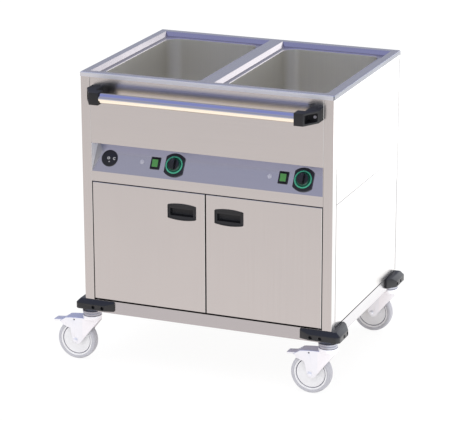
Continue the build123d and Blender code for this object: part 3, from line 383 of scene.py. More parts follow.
# Painted shade: the fascia's downward faces get the cool tint.
finish_faces(nodes["front_fascia"], painted_shade_under_fascia, lambda p, n: n.z < -0.9 and p.z < tank_low.z)
# Painted light: the cheek's faces get the pale finish.
finish_faces(nodes["control_panel"], pale_cheek_painted_light, lambda p, n: n.x > 0.9 and p.x < tank_low.x)
# Painted light on the front lip and a painted highlight on its bend, painted shade on the side lip.
finish_faces(worktop, lip_front_painted_light, lambda p, n: p.y < lip_y + lip_reach and n.y < -0.1)
finish_faces(worktop, fillet_front_painted_highlight, lambda p, n: p.y < lip_y + lip_reach and n.y < -0.1 and n.z > 0.2)
finish_faces(worktop, fillet_side_painted_shade, lambda p, n: p.x > lip_x - lip_reach and n.x > 0.1 and n.z > 0.4)
finish_faces(worktop, lip_side_painted_shade, lambda p, n: p.x > lip_x - lip_reach and n.x > 0.1 and n.z < 0.4)
finish_faces(
    worktop, tank_satin, lambda p, n: abs(n.z) < 0.3 and abs(p.x) < collar_x and abs(p.y) < collar_y
)
finish_faces(nodes["screws"], zinc_dull_and_painted_shade, lambda p, n: p.z > tank_low.z)
# The bar's downward-facing half gets the painted reflection of the floor.
finish_faces(nodes["push_bar"], bar_painted_reflection, lambda p, n: n.z < 0.06)


# %% [markdown]
# ## Helpers for modelling
# The pieces below are made the way they would be by hand: a primitive, a few edit-mode operators,
# then modifiers that are applied. Operators work on whatever is selected, so each helper first sees
# to the selection. Sizes are given in millimetres and turned to metres here, in one place.

# %% Selection and primitives
def only(piece):
    """Leaves edit mode and makes one object the whole selection."""
    if bpy.context.mode != "OBJECT":
        bpy.ops.object.mode_set(mode="OBJECT")
    bpy.ops.object.select_all(action="DESELECT")
    piece.select_set(True)
    bpy.context.view_layer.objects.active = piece


def block(low, high):
    """A box between two corners."""
    bpy.ops.object.select_all(action="DESELECT")
    low, high = Vector(low) * MM, Vector(high) * MM
    bpy.ops.mesh.primitive_cube_add(size=1.0, location=(low + high) / 2, scale=high - low)
    piece = bpy.context.object
    bpy.ops.object.transform_apply(location=True, rotation=False, scale=True)
    return piece


def rod(radius, low, high, middle=(0.0, 0.0), sides=64):
    """A round bar along Z, from low to high."""
    bpy.ops.object.select_all(action="DESELECT")
    place = Vector((*middle, (low + high) / 2)) * MM
    bpy.ops.mesh.primitive_cylinder_add(
        vertices=sides, radius=radius * MM, depth=(high - low) * MM, location=place
    )
    piece = bpy.context.object
    bpy.ops.object.transform_apply(location=True, rotation=False, scale=False)
    return piece


print("primitives ready")

# %% [markdown]
# By hand, corners, edges and faces are clicked. A script can't point, so it picks them by where they
# lie or where they face. A bisect makes straight cuts. A Boolean modifier makes the others, and its
# tool reaches a little past the piece, so that no two faces coincide.

# %% Picking and cutting
near = 0.1


def pick(piece, kind, test):
    """Goes into edit mode and selects the corners, edges or faces whose middle passes a test."""
    only(piece)
    bpy.ops.object.mode_set(mode="EDIT")
    bpy.ops.mesh.select_mode(type=kind)
    bpy.ops.mesh.select_all(action="DESELECT")
    shape = bmesh.from_edit_mesh(piece.data)
    for item in {"VERT": shape.verts, "EDGE": shape.edges, "FACE": shape.faces}[kind]:
        corners = [item] if kind == "VERT" else item.verts
        middle = sum((corner.co for corner in corners), Vector()) / len(corners) / MM
        if test(middle, item):
            item.select_set(True)
    shape.select_flush_mode()
    bmesh.update_edit_mesh(piece.data)


def upright(edge):
    """Whether an edge climbs by more than a millimetre."""
    return abs(edge.verts[0].co.z - edge.verts[1].co.z) > MM


def slice_off(piece, point, normal):
    """Cuts the whole piece with a plane, drops what lies on the normal's side and closes the cut."""
    pick(piece, "FACE", lambda middle, face: True)
    normal = Vector(normal).normalized()
    bpy.ops.mesh.bisect(plane_co=Vector(point) * MM, plane_no=normal, use_fill=True, clear_outer=True)
    bpy.ops.object.mode_set(mode="OBJECT")


def cut(piece, tool, operation="DIFFERENCE"):
    """Cuts a piece with a tool, joins the two or keeps what they share, and deletes the tool."""
    only(piece)
    modifier = piece.modifiers.new("cut", "BOOLEAN")
    modifier.object = tool
    modifier.operation = operation
    modifier.solver = "EXACT"
    bpy.ops.object.modifier_apply(modifier=modifier.name)
    bpy.data.objects.remove(tool)


print("a corner counts as on a face within", near, "mm of it")

# %% [markdown]
# No moulded or pressed edge is truly sharp, and its narrow rounding is what catches the light, so a
# Bevel modifier rounds them. Round pieces could be built up from cylinders. Here they are turned as
# on a lathe: a chain of corners is extruded point by point and spun once about the axis.

# %% Rounding and turning
same_point = 0.001 * MM
turned_sharp = math.radians(30)


def soften(piece, width, segments=2, sharp=35.0):
    """Rounds every sharp edge, as a mould or a press leaves it, and shades the piece smooth."""
    only(piece)
    modifier = piece.modifiers.new("soften", "BEVEL")
    modifier.width = width * MM
    modifier.segments = segments
    modifier.limit_method = "ANGLE"
    modifier.angle_limit = math.radians(sharp)
    bpy.ops.object.modifier_apply(modifier=modifier.name)
    bpy.ops.object.shade_smooth_by_angle(angle=math.radians(sharp))


def turned(profile, steps=72):
    """Turns a chain of (radius, height) corners about Z; the chain closes or ends on the axis."""
    bpy.ops.object.select_all(action="DESELECT")
    bpy.ops.mesh.primitive_plane_add(size=MM)
    piece = bpy.context.object
    bpy.ops.object.mode_set(mode="EDIT")
    bpy.ops.mesh.select_mode(type="VERT")
    bpy.ops.mesh.merge(type="CENTER")
    bpy.ops.transform.translate(value=(profile[0][0] * MM, 0, profile[0][1] * MM))
    for (radius, height), (next_radius, next_height) in zip(profile, profile[1:]):
        step = ((next_radius - radius) * MM, 0, (next_height - height) * MM)
        bpy.ops.mesh.extrude_region_move(TRANSFORM_OT_translate={"value": step})
    bpy.ops.mesh.select_all(action="SELECT")
    bpy.ops.mesh.spin(steps=steps, angle=2 * math.pi, center=(0, 0, 0), axis=(0, 0, 1))
    bpy.ops.mesh.select_all(action="SELECT")
    bpy.ops.mesh.remove_doubles(threshold=same_point)
    bpy.ops.mesh.normals_make_consistent(inside=False)
    bpy.ops.object.mode_set(mode="OBJECT")
    bpy.ops.object.shade_smooth_by_angle(angle=turned_sharp)
    return piece


print("modelling helpers ready")


# %% [markdown]
# ## Putting pieces in place
# A piece is modelled once, round the origin, and each use of it is a copy with its own mesh. Its
# place goes into the mesh, so that the finished object itself sits at the origin, as the packed
# solids do. The controls lean back with their panel, and the frame of a control is read from the
# joint that turns it.

# %% Copies and places
def copied(piece):
    """A copy of a piece, with its own mesh."""
    only(piece)
    bpy.ops.object.duplicate(linked=False)
    return bpy.context.object


def settle(piece, name, finish, body, place=None, stands_for=()):
    """Moves a piece to its place, gives it its name and finish, and lets it ride on its body."""
    only(piece)
    if place is not None:
        piece.matrix_world = place
        bpy.ops.object.transform_apply(location=True, rotation=True, scale=True)
    piece.name = piece.data.name = name
    piece.data.materials.clear()
    piece.data.materials.append(finish)
    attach(piece, body)
    if stands_for:
        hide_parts(*stands_for)


def axes(point, across, up):
    """The frame at a point, in metres, with X across, Y up and Z out of the face that they span."""
    across, up = Vector(across), Vector(up)
    turn = Matrix((across, up, across.cross(up))).transposed().to_4x4()
    return Matrix.Translation(point) @ turn


panel_out = -Vector(joints["drain_turn"]["axis"])
panel_up = panel_out.cross(Vector((1, 0, 0)))
panel_point = Vector(joints["drain_turn"]["pos_m"])


def on_panel(x):
    """The frame of a control at x along the sloped panel."""
    return axes((x, panel_point.y, panel_point.z), (1, 0, 0), panel_up)


def on_front(point):
    """A frame that looks out of the cabinet's front."""
    return axes(point, (1, 0, 0), (0, 0, 1))


sides = ("left", "right")
control_x = {name: joint["pos_m"][0] for name, joint in joints.items()}
print("the panel leans back by", round(math.degrees(math.asin(panel_out.z)), 1), "degrees")


# %% [markdown]
# ## Thermostat dials
# Each dial has a black bezel with two straight sides and two bowed ends, a glossy teal ring on it and
# a knob with a bar to grip. The bowed outline could be drawn as a curve. Here it is a block that
# keeps only what it shares with two wide rods, because that is quick to size: the rods' radius
# follows from the bow.

# %% Bezels
def barrel(width, side, length, low, high):
    """A plate with two straight sides and two bowed ends."""
    half, bow = width / 2, (length - side) / 2
    radius = (half ** 2 + bow ** 2) / (2 * bow)
    plate = block((-half, -length / 2, low), (half, length / 2, high))
    for sign in (-1, 1):
        bowed = rod(radius, low - 1, high + 1, (0, sign * (length / 2 - radius)), sides=360)
        cut(plate, bowed, "INTERSECT")
    return plate


def round_corners(plate, width, side, radius):
    """Rounds the four upright edges where a barrel's sides meet its bows."""
    pick(
        plate, "EDGE",
        lambda p, edge: upright(edge)
        and abs(abs(p.x) - width / 2) < near and abs(abs(p.y) - side / 2) < near,
    )
    bpy.ops.mesh.bevel(offset=radius * MM, segments=5)
    bpy.ops.object.mode_set(mode="OBJECT")


bezel_width, bezel_side, bezel_length, bezel_height = 58.5, 48.0, 72.0, 5.0
bezel = barrel(bezel_width, bezel_side, bezel_length, 0, bezel_height)
round_corners(bezel, bezel_width, bezel_side, radius=5.0)
soften(bezel, 1.2, segments=3)
for side in sides:
    place = on_panel(control_x[f"thermostat_turn_{side}"])
    settle(copied(bezel), f"bezel_{side}", black_abs, "cabinet", place, ["thermostat_bezels"])
bpy.data.objects.remove(bezel)
print("bezels on the panel at x", [round(control_x[f"thermostat_turn_{side}"], 4) for side in sides])

# %% [markdown]
# The ring and the knob are round, so they are turned. The knob's skirt is a cone between the ring and
# the black disc, in the ring's teal made deep and dark, which is painted shade. The bar could be drawn
# as an outline and extruded. It is a block that is made narrower at its top, kept within the disc's
# round and joined to the disc, which gives its bowed ends at once.

# %% Rings, skirts and knobs
ring = turned([
    (27.0, 5.0), (27.0, 6.0), (26.6, 6.9), (25.8, 7.5), (24.4, 7.7), (23.2, 7.4), (22.4, 6.6),
    (22.2, 5.0), (27.0, 5.0),
])
skirt = turned([(21.4, 5.8), (21.2, 7.0), (17.6, 12.6), (16.0, 12.6), (16.0, 5.8), (21.4, 5.8)])
disc_top, bar_top = 14.4, 24.4
bar_half, bar_reach, bar_round, bar_taper = 6.5, 17.0, 17.2, (0.82, 0.93, 1.0)
pointer_half, pointer_inner, pointer_outer = 0.5, 8.0, 14.5
knob = turned([
    (0, disc_top), (16.2, disc_top), (17.0, 14.2), (17.5, 13.6), (17.5, 8.0), (3.0, 8.0), (3.0, -20.4),
    (0, -20.4),
])
bar = block((-bar_half, -bar_reach, disc_top - 2), (bar_half, bar_reach, bar_top))
pick(bar, "FACE", lambda p, face: face.normal.z > 0.9)
bpy.ops.transform.resize(value=bar_taper)
bpy.ops.object.mode_set(mode="OBJECT")
cut(bar, rod(bar_round, 0, 30), "INTERSECT")
soften(bar, 1.2, segments=3)
cut(knob, bar, "UNION")
bpy.ops.object.shade_smooth_by_angle(angle=turned_sharp)
pointer = block(
    (-pointer_half, pointer_inner, bar_top - 0.5), (pointer_half, pointer_outer, bar_top + 0.12)
)
soften(pointer, 0.1, segments=1)
for side in sides:
    place = on_panel(control_x[f"thermostat_turn_{side}"])
    body = f"thermostat_knob_{side}"
    settle(copied(ring), f"ring_{side}", ring_teal, "cabinet", place, ["thermostat_rings"])
    settle(copied(knob), f"knob_{side}", black_abs, body, place, [f"thermostat_knob_{side}"])
    settle(copied(skirt), f"knob_skirt_{side}", skirt_painted_shade, body, place)
    settle(copied(pointer), f"knob_pointer_{side}", mark_grey, body, place)
for master in (ring, skirt, knob, pointer):
    bpy.data.objects.remove(master)
print("dials stand", bar_top, "mm out of the panel")


# %% [markdown]
# ## Drain knob
# A flat black disc opens the drain. It carries a printed O and C, for open and closed, and a small
# arrow. Letters could be cut from a sheet. They are simplest as text, with its strokes thickened by
# an offset, which is turned to a mesh before it is put in its place.

# %% Disc and printed marks
print_height, stroke = 0.3, 0.25


def letter(body, size):
    """One raised letter, as a mesh, with its middle at the origin."""
    bpy.ops.object.select_all(action="DESELECT")
    bpy.ops.object.text_add()
    piece = bpy.context.object
    piece.data.body = body
    piece.data.size = size * MM
    piece.data.align_x, piece.data.align_y = "CENTER", "CENTER"
    piece.data.offset = stroke * MM
    piece.data.extrude = print_height / 2 * MM
    bpy.ops.object.convert(target="MESH")
    only(piece)
    bpy.ops.object.mode_set(mode="EDIT")
    bpy.ops.mesh.select_all(action="SELECT")
    bpy.ops.mesh.remove_doubles(threshold=same_point)
    bpy.ops.object.mode_set(mode="OBJECT")
    return piece


drain_place = on_panel(control_x["drain_turn"])
drain_face, letter_size, arrow_radius, arrow_x, arrow_y = 3.5, 10.8, 2.4, 1.5, -11.0
disc = turned([
    (0, drain_face), (23.6, drain_face), (24.7, 3.2), (25.3, 2.6), (25.5, 1.8), (25.5, 0.9),
    (25.1, 0.5), (4.0, 0.5), (4.0, -58.6), (0, -58.6),
])
settle(disc, "drain_disc", black_abs, "drain_knob", drain_place, ["drain_knob"])
for name, code, x, y in (("open", "O", -2.0, -0.8), ("closed", "C", 16.0, -0.8)):
    place = drain_place @ Matrix.Translation(Vector((x, y, drain_face)) * MM)
    settle(letter(code, letter_size), f"drain_mark_{name}", mark_white, "drain_knob", place)
bpy.ops.object.select_all(action="DESELECT")
bpy.ops.mesh.primitive_cylinder_add(vertices=3, radius=arrow_radius * MM, depth=print_height * MM)
arrow = bpy.context.object
soften(arrow, 0.1, segments=1)
place = drain_place @ Matrix.Translation(Vector((arrow_x, arrow_y, drain_face)) * MM)
settle(arrow, "drain_mark_arrow", mark_white, "drain_knob", place)
print("drain disc at", [round(v, 3) for v in drain_place.translation])

# %% [markdown]
# ## Rocker switches
# A switch is a black frame, pressed through the panel, and a rocker that tips in it and carries a
# green lens. The frame is a block with sloping sides and an opening. The rocker's two faces meet in a
# shallow valley: its top is cut across by a bisect, and the upper edge is lifted so that this half
# stands up while the switch is off. Two wedges side by side would do, but the bisected block stays
# one closed shell. The lens is the same form again, a little narrower and a little proud of the
# rocker.

# %% Frames
frame_width, frame_length, frame_rim = 31.0, 38.5, 3.0
opening_x, opening_y = 10.9, 15.8
housing_x, housing_y, housing_depth = 13.0, 17.0, 20.0
frame_corner, frame_taper = 2.0, (0.95, 0.96, 1.0)
switch = block(
    (-frame_width / 2, -frame_length / 2, 0), (frame_width / 2, frame_length / 2, frame_rim)
)
pick(switch, "EDGE", lambda p, edge: upright(edge))
bpy.ops.mesh.bevel(offset=frame_corner * MM, segments=4)
pick(switch, "FACE", lambda p, face: face.normal.z > 0.9)
bpy.ops.transform.resize(value=frame_taper)
bpy.ops.object.mode_set(mode="OBJECT")
cut(switch, block((-housing_x, -housing_y, -housing_depth), (housing_x, housing_y, 0.5)), "UNION")
cut(switch, block(
    (-opening_x, -opening_y, 1 - housing_depth), (opening_x, opening_y, frame_rim + 1)
))
soften(switch, 0.5)
print("a switch frame is", frame_width, "by", frame_length, "mm")

# %% Rockers
rocker_x, rocker_end, rocker_foot, rocker_face, rocker_tip = 10.5, 15.4, -4.5, 3.6, 3.8
rocker_pivot, lens_share, lens_proud = -3.0, (0.88, 0.84, 1.0), 0.3
rocker = block((-rocker_x, -rocker_end, rocker_foot), (rocker_x, rocker_end, rocker_face))
pick(rocker, "FACE", lambda p, face: True)
bpy.ops.mesh.bisect(plane_co=(0, 0, 0), plane_no=(0, 1, 0))
pick(rocker, "EDGE", lambda p, edge: p.z > rocker_face - near and p.y > rocker_end - near)
bpy.ops.transform.translate(value=(0, 0, rocker_tip * MM))
bpy.ops.object.mode_set(mode="OBJECT")
swing = rod(rocker_end, -rocker_x - 1, rocker_x + 1, sides=128)
swing_place = Matrix.Translation((0, 0, rocker_pivot * MM))
swing.matrix_world = swing_place @ Matrix.Rotation(math.pi / 2, 4, "Y")
cut(rocker, swing, "INTERSECT")
soften(rocker, 1.4, segments=3, sharp=40)
lens = copied(rocker)
pick(lens, "VERT", lambda p, corner: True)
bpy.ops.transform.resize(value=lens_share)
bpy.ops.transform.translate(value=(0, 0, lens_proud * MM))
bpy.ops.object.mode_set(mode="OBJECT")
for side in sides:
    place = on_panel(control_x[f"rocker_tip_{side}"])
    body = f"rocker_{side}"
    settle(copied(switch), f"switch_frame_{side}", black_abs, "cabinet", place, ["switch_housings"])
    settle(copied(rocker), f"switch_rocker_{side}", black_abs, body, place, [f"rocker_{side}"])
    settle(copied(lens), f"switch_lens_{side}", green_lens, body, place)
for master in (switch, rocker, lens):
    bpy.data.objects.remove(master)
print("switches at x", [round(control_x[f"rocker_tip_{side}"], 4) for side in sides])

# %% [markdown]
# ## Pilot lamps
# Beside each switch sits a small clear lamp, hardly lighter than the steel while it is off: a flat
# collar with a low dome in it. A flattened ball in a ring would do, but one turned section gives both
# at once.

# %% Two pilot lamps
lamp_radius = 7.0
lamp = turned([
    (0, 1.6), (2.0, 1.5), (3.6, 1.1), (4.4, 0.6), (4.8, 0.6), (5.2, 1.1), (6.2, 1.1), (6.8, 0.7),
    (lamp_radius, 0.02), (4.0, 0.02), (4.0, -20.0), (0, -20.0),
])
lamp_low, lamp_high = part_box("pilot_lamps")
lamp_x = {"left": lamp_low.x + lamp_radius * MM, "right": lamp_high.x - lamp_radius * MM}
for side in sides:
    place = on_panel(lamp_x[side])
    settle(copied(lamp), f"lamp_{side}", lamp_clear, "cabinet", place, ["pilot_lamps"])
bpy.data.objects.remove(lamp)
print("lamps at x", [round(x, 4) for x in lamp_x.values()])

# %% [markdown]
# ## Door grips
# The doors are pulled by black cups that are sunk in the sheet: a bowed flange on the outside with a
# deep pocket for the fingers. The flange's front is inset and pressed in by a millimetre, which
# leaves the thin raised border, and the pocket is cut below a broader band at the top, the edge that
# the fingers pull. The cup could be extruded from the flange's back, but a block that is joined on
# and then hollowed keeps the wall's thickness a named size.

# %% Grips
grip_width, grip_side, grip_length, grip_flange = 90.5, 41.0, 51.0, 2.4
cup_x, cup_y, cup_depth, cup_wall = 39.75, 15.0, 13.0, 1.8
border_width, border_step, pull_band, pocket_draft = 3.2, 1.1, 2.0, (0.92, 0.8, 1.0)
grip = barrel(grip_width, grip_side, grip_length, 0, grip_flange)
round_corners(grip, grip_width, grip_side, radius=2.5)
pick(grip, "FACE", lambda p, face: face.normal.z > 0.9)
bpy.ops.mesh.inset(thickness=border_width * MM)
bpy.ops.mesh.extrude_region_move(TRANSFORM_OT_translate={"value": (0, 0, -border_step * MM)})
bpy.ops.object.mode_set(mode="OBJECT")
cut(grip, block((-cup_x, -cup_y, -cup_depth - cup_wall), (cup_x, cup_y, 0.5)), "UNION")
pocket = block(
    (-cup_x + cup_wall, -cup_y + cup_wall, -cup_depth),
    (cup_x - cup_wall, cup_y - cup_wall - pull_band, grip_flange),
)
pick(pocket, "FACE", lambda p, face: face.normal.z < -0.9)
bpy.ops.transform.resize(value=pocket_draft)
bpy.ops.object.mode_set(mode="OBJECT")
soften(pocket, 3.0, segments=3)
cut(grip, pocket)
soften(grip, 0.6)
for side in sides:
    low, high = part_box(f"door_{side}_grip")
    skin_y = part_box(f"door_{side}_skin")[0].y
    place = on_front(((low.x + high.x) / 2, skin_y, (low.z + high.z) / 2))
    settle(copied(grip), f"grip_{side}", nylon_dull, f"door_{side}", place, [f"door_{side}_grip"])
bpy.data.objects.remove(grip)
print("grips stand", grip_flange, "mm proud of the doors")

# %% [markdown]
# ## Push-bar brackets
# A black moulding holds each end of the bar. From above it is a block with one front corner sliced
# away, so that a flank spreads outwards to a broad foot. Behind the bar its inner corner is cut out,
# which leaves room for a hand. The flank is hollow, which saves material and lets the screw in. An
# outline could be extruded instead, but with cuts each form has its own size. The left one is a
# mirror image of the right one, so its faces are turned outwards again.


# %% Brackets
def mirrored(piece, place):
    """Moves a finished piece by a place that mirrors it, and turns its faces outwards again."""
    only(piece)
    piece.matrix_world = place
    bpy.ops.object.transform_apply(location=True, rotation=True, scale=True)
    bpy.ops.object.mode_set(mode="EDIT")
    bpy.ops.mesh.select_all(action="SELECT")
    bpy.ops.mesh.normals_make_consistent(inside=False)
    bpy.ops.object.mode_set(mode="OBJECT")
    return piece


arm_width, foot_depth, hollow_wall, hollow_height, bar_seat = 29.0, 30.0, 5.0, 25.0, 20.0
recess_width, recess_depth, nose_bevel, flank_wall, bar_gap = 21.5, 44.0, 2.25, 2.0, 0.1
bar_low, bar_high = (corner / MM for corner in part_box("push_bar"))
bar_middle, bar_radius = (bar_low + bar_high) / 2, (bar_high.z - bar_low.z) / 2
low, high = (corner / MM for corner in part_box("push_bar_bracket_right"))
bracket = block(low, high)
flank = Vector((high.x - low.x - arm_width, high.y - foot_depth - low.y, 0))
slice_off(bracket, (low.x + arm_width, low.y, low.z), (flank.y, -flank.x, 0))
pick(bracket, "EDGE", lambda p, edge: p.y < low.y + near and upright(edge))
bpy.ops.mesh.bevel(offset=nose_bevel * MM, segments=4)
bpy.ops.object.mode_set(mode="OBJECT")
hollow = block(
    (low.x + bar_seat + hollow_wall, low.y + hollow_wall, bar_middle.z - hollow_height / 2),
    (high.x - flank_wall, high.y - foot_depth, bar_middle.z + hollow_height / 2),
)
soften(hollow, 3.0, segments=4)
cut(bracket, hollow)
cut(bracket, block(
    (low.x - 1, high.y - recess_depth, low.z - 1), (low.x + recess_width, high.y + 1, high.z + 1)
))
soften(bracket, 1.2, segments=3)
seat = rod(bar_radius + bar_gap, -1, bar_seat)
seat_place = Vector((low.x, bar_middle.y, bar_middle.z)) * MM
seat.matrix_world = Matrix.Translation(seat_place) @ Matrix.Rotation(math.pi / 2, 4, "Y")
cut(bracket, seat)
other = mirrored(copied(bracket), Matrix.Diagonal((-1, 1, 1, 1)))
settle(bracket, "bracket_right", nylon_dull, "cabinet", stands_for=["push_bar_bracket_right"])
settle(other, "bracket_left", nylon_dull, "cabinet", stands_for=["push_bar_bracket_left"])
print("brackets hold a bar of", round(2 * bar_radius, 1), "mm")

# %% [markdown]
# ## Corner bumpers
# A thick moulding wraps each corner of the base frame. It is an L cut from a block, with a rounded
# outer corner, a broad slope all along its top edge, legs that thin towards their ends and two deep
# screw holes in each leg. A section could be swept round the corner, but the slope and the toes are
# flat, so a bevel and two bisects make them. One is modelled, and mirroring, as for the brackets,
# puts it on the other corners.

# %% One bumper
leg, toe, taper, slope, corner_round = 97.0, 6.0, 30.0, 12.0, 13.0
screw_rise, screw_places, recess, recess_seat = 9.0, (31.0, 61.0), 5.2, 4.0
past, hole_run = 9.0, 60.0
low, high = (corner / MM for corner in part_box("corner_bumpers"))
base_low, base_high = (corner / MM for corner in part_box("chassis"))
side_x, front_y = base_high.x, base_low.y
bumper = block((side_x - leg, low.y, low.z), (high.x, front_y + leg, high.z))
pick(bumper, "EDGE", lambda p, edge: p.x > high.x - near and p.y < low.y + near)
bpy.ops.mesh.bevel(offset=corner_round * MM, segments=8)
pick(
    bumper, "EDGE",
    lambda p, edge: min(corner.co.z for corner in edge.verts) > (high.z - near) * MM
    and p.x > side_x - leg + near and p.y < front_y + leg - near,
)
bpy.ops.mesh.bevel(offset=slope * MM, segments=1)
bpy.ops.object.mode_set(mode="OBJECT")
cut(bumper, block(
    (side_x - 2 * leg, front_y, low.z - past), (side_x, front_y + 2 * leg, high.z + past)
))
front_toe = Vector((low.y - (front_y - toe), -taper, 0))
slice_off(bumper, (side_x - leg, front_y - toe, low.z), front_toe)
side_toe = Vector((taper, high.x - (side_x + toe), 0))
slice_off(bumper, (side_x + toe, front_y + leg, low.z), side_toe)
print("bumper blank has", len(bumper.data.polygons), "faces")

# %% Screw holes and the four corners
for along in screw_places:
    for place in (
        axes((side_x - along, front_y - recess_seat, low.z + screw_rise), (1, 0, 0), (0, 0, 1)),
        axes((side_x + recess_seat, front_y + along, low.z + screw_rise), (0, 1, 0), (0, 0, 1)),
    ):
        hole = rod(recess, 0, hole_run, sides=32)
        hole.matrix_world = Matrix.Translation(place.translation * MM) @ place.to_3x3().to_4x4()
        cut(bumper, hole)
soften(bumper, 1.0)
middle_y = (low.y + high.y) / 2 * MM
for end, y_sign in (("front", 1), ("rear", -1)):
    for side, x_sign in (("left", -1), ("right", 1)):
        flip = Matrix.Diagonal((x_sign, y_sign, 1, 1))
        place = Matrix.Translation((0, middle_y * (1 - y_sign), 0)) @ flip
        piece = mirrored(copied(bumper), place)
        settle(piece, f"bumper_{end}_{side}", black_nylon, "cabinet", stands_for=["corner_bumpers"])
bpy.data.objects.remove(bumper)
print("bumpers on four corners")

# %% [markdown]
# ## Painted shade along the sides
# Each lower side panel stands a few millimetres clear of the base frame, and a narrow seam parts it
# from the upper one. The thin dark line in each gap is painted shade, drawn as a dark strip in the
# gap. The panel meets the front post in a joint, and the rear post ends in an edge, and a dark bead
# of painted shade runs along each. Both lines would be about 1 mm wide on the real cabinet and are
# drawn 3 mm wide, because a finer line would be lost in the bright side. A printed line would do for
# them, but a block with soft edges also catches a little light.

# %% Strips of painted shade
# Each row gives a name, how far the strip stands out, its depth, and its ends along Y and along Z.
seam_low, seam_high, bead, proud, bead_depth, post_round = 580.25, 581.15, 3.0, 0.15, 0.3, 0.3
end_gap, foot_gap = 1.0, 0.1
bead_top = (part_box("worktop")[0] / MM).z - 0.2
rear_edge = base_high.y - post_round
for side, sign in (("left", -1), ("right", 1)):
    low, high = (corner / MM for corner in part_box(f"side_panels_{side}"))
    ends = (low.y + end_gap, high.y - end_gap)
    for name, out, deep, (y0, y1), (z0, z1) in (
        ("foot", -1.0, 11.0, ends, (base_high.z + foot_gap, low.z - foot_gap)),
        ("seam", -0.3, 2.0, ends, (seam_low, seam_high)),
        ("joint", proud, bead_depth, (low.y - bead / 2, low.y + bead / 2), (low.z, bead_top)),
        ("edge", proud, bead_depth, (rear_edge - bead, rear_edge), (low.z, bead_top)),
    ):
        x0, x1 = sorted((sign * (side_x + out - deep), sign * (side_x + out)))
        strip = block((x0, y0, z0), (x1, y1, z1))
        soften(strip, 0.1)
        settle(strip, f"seal_{name}_{side}", seam_painted_shade, "cabinet")
print("strips fill a gap of", round(low.z - base_high.z, 2), "mm at the foot")

# %% [markdown]
# ## Castor wheels
# A wheel is a white nylon rim with a grey rubber tyre. The cover on the rim leaves a narrow groove,
# and a dark grey ring in it is painted shade, which shows as a thin dark ring. A torus would do for the
# tyre, but its sides are flat and its tread is nearly so. All of it is round, so it is turned: half a
# section is written down, from the bore to the tyre, and its mirror image is added for the far side.


# %% Rims, groove rings of painted shade, tyres and axle bolts
def both_faces(half):
    """A closed section from its front half, mirrored to the back."""
    return half + [(radius, -height) for radius, height in reversed(half)] + half[:1]


wheel_steps = 96
rim = turned(both_faces([
    (5.1, 18.4), (13.4, 18.4), (14.0, 17.8), (14.4, 13.0), (15.6, 11.4), (20.0, 10.6), (32.0, 10.2),
    (43.6, 10.9), (44.3, 10.4), (44.4, 8.5), (46.6, 8.5), (46.7, 12.2), (47.4, 12.7), (50.6, 13.8),
    (51.5, 13.4),
]), steps=wheel_steps)
seam_shade = turned([(44.5, 8.6), (46.5, 8.6), (46.5, 9.4), (44.5, 9.4), (44.5, 8.6)], steps=wheel_steps)
tyre = turned(both_faces([
    (51.5, 13.4), (52.2, 14.8), (53.4, 15.4), (55.5, 15.5), (58.4, 15.2), (60.2, 14.2), (61.4, 12.0),
    (62.1, 8.5), (62.45, 4.0),
]), steps=wheel_steps)
bolt = turned([
    (0, 26.4), (3.6, 26.3), (5.6, 25.6), (6.9, 24.3), (7.4, 22.8), (7.5, 22.05), (4.98, 22.05),
    (4.98, -22.05), (7.5, -22.05), (7.5, -25.6), (6.9, -26.3), (0, -26.4),
])
corners = [f"castor_{end}_{side}" for end in ("front", "rear") for side in sides]
for name in corners:
    place = on_front(joints[f"{name}_roll"]["pos_m"])
    settle(copied(rim), f"{name}_wheel_rim", rim_nylon, f"{name}_wheel", place, [f"{name}_rim"])
    settle(copied(seam_shade), f"{name}_wheel_groove_shade", groove_shade_finish, f"{name}_wheel", place)
    settle(copied(tyre), f"{name}_wheel_tyre", tyre_rubber, f"{name}_wheel", place, [f"{name}_tyre"])
    settle(copied(bolt), f"{name}_axle_bolt", zinc_bright, f"{name}_fork", place, [f"{name}_axle"])
for master in (rim, seam_shade, tyre, bolt):
    bpy.data.objects.remove(master)
print(len(corners), "wheels made")


# %% [markdown]
# ## Castor forks and brake pedals
# The forks are pressings with folds, a hood and a round head, and their solids already have those
# forms. What a solid lacks is the small radius on every sheared edge that catches the light. So a
# copy of each solid's mesh is merged, its flat faces are made whole again, and a bevel is applied to
# its sharp edges. On a fork the faces that look up get a bluer tint, a painted reflection of the sky,
# and so do a pedal's. A fork's faces that look down get a duller tint, which is painted shade. A fork's
# cheek is creased where its leading flange is bent, which shows as a step in brightness: a bisect
# parts the cheek there, and the flange gets a paler tint, which is painted light. The brake's pin is
# blackened, a dot in the cheek.

# %% Edges of the pressings
def from_solid(node):
    """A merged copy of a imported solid's mesh, to go on modelling with."""
    piece = bpy.data.objects.new(f"{node}_copy", nodes[node].data.copy())
    bpy.context.scene.collection.objects.link(piece)
    only(piece)
    bpy.ops.object.mode_set(mode="EDIT")
    bpy.ops.mesh.select_all(action="SELECT")
    bpy.ops.mesh.remove_doubles(threshold=0.01 * MM)
    bpy.ops.mesh.dissolve_limited(angle_limit=math.radians(0.5))
    bpy.ops.object.mode_set(mode="OBJECT")
    bpy.ops.mesh.customdata_custom_splitnormals_clear()
    return piece


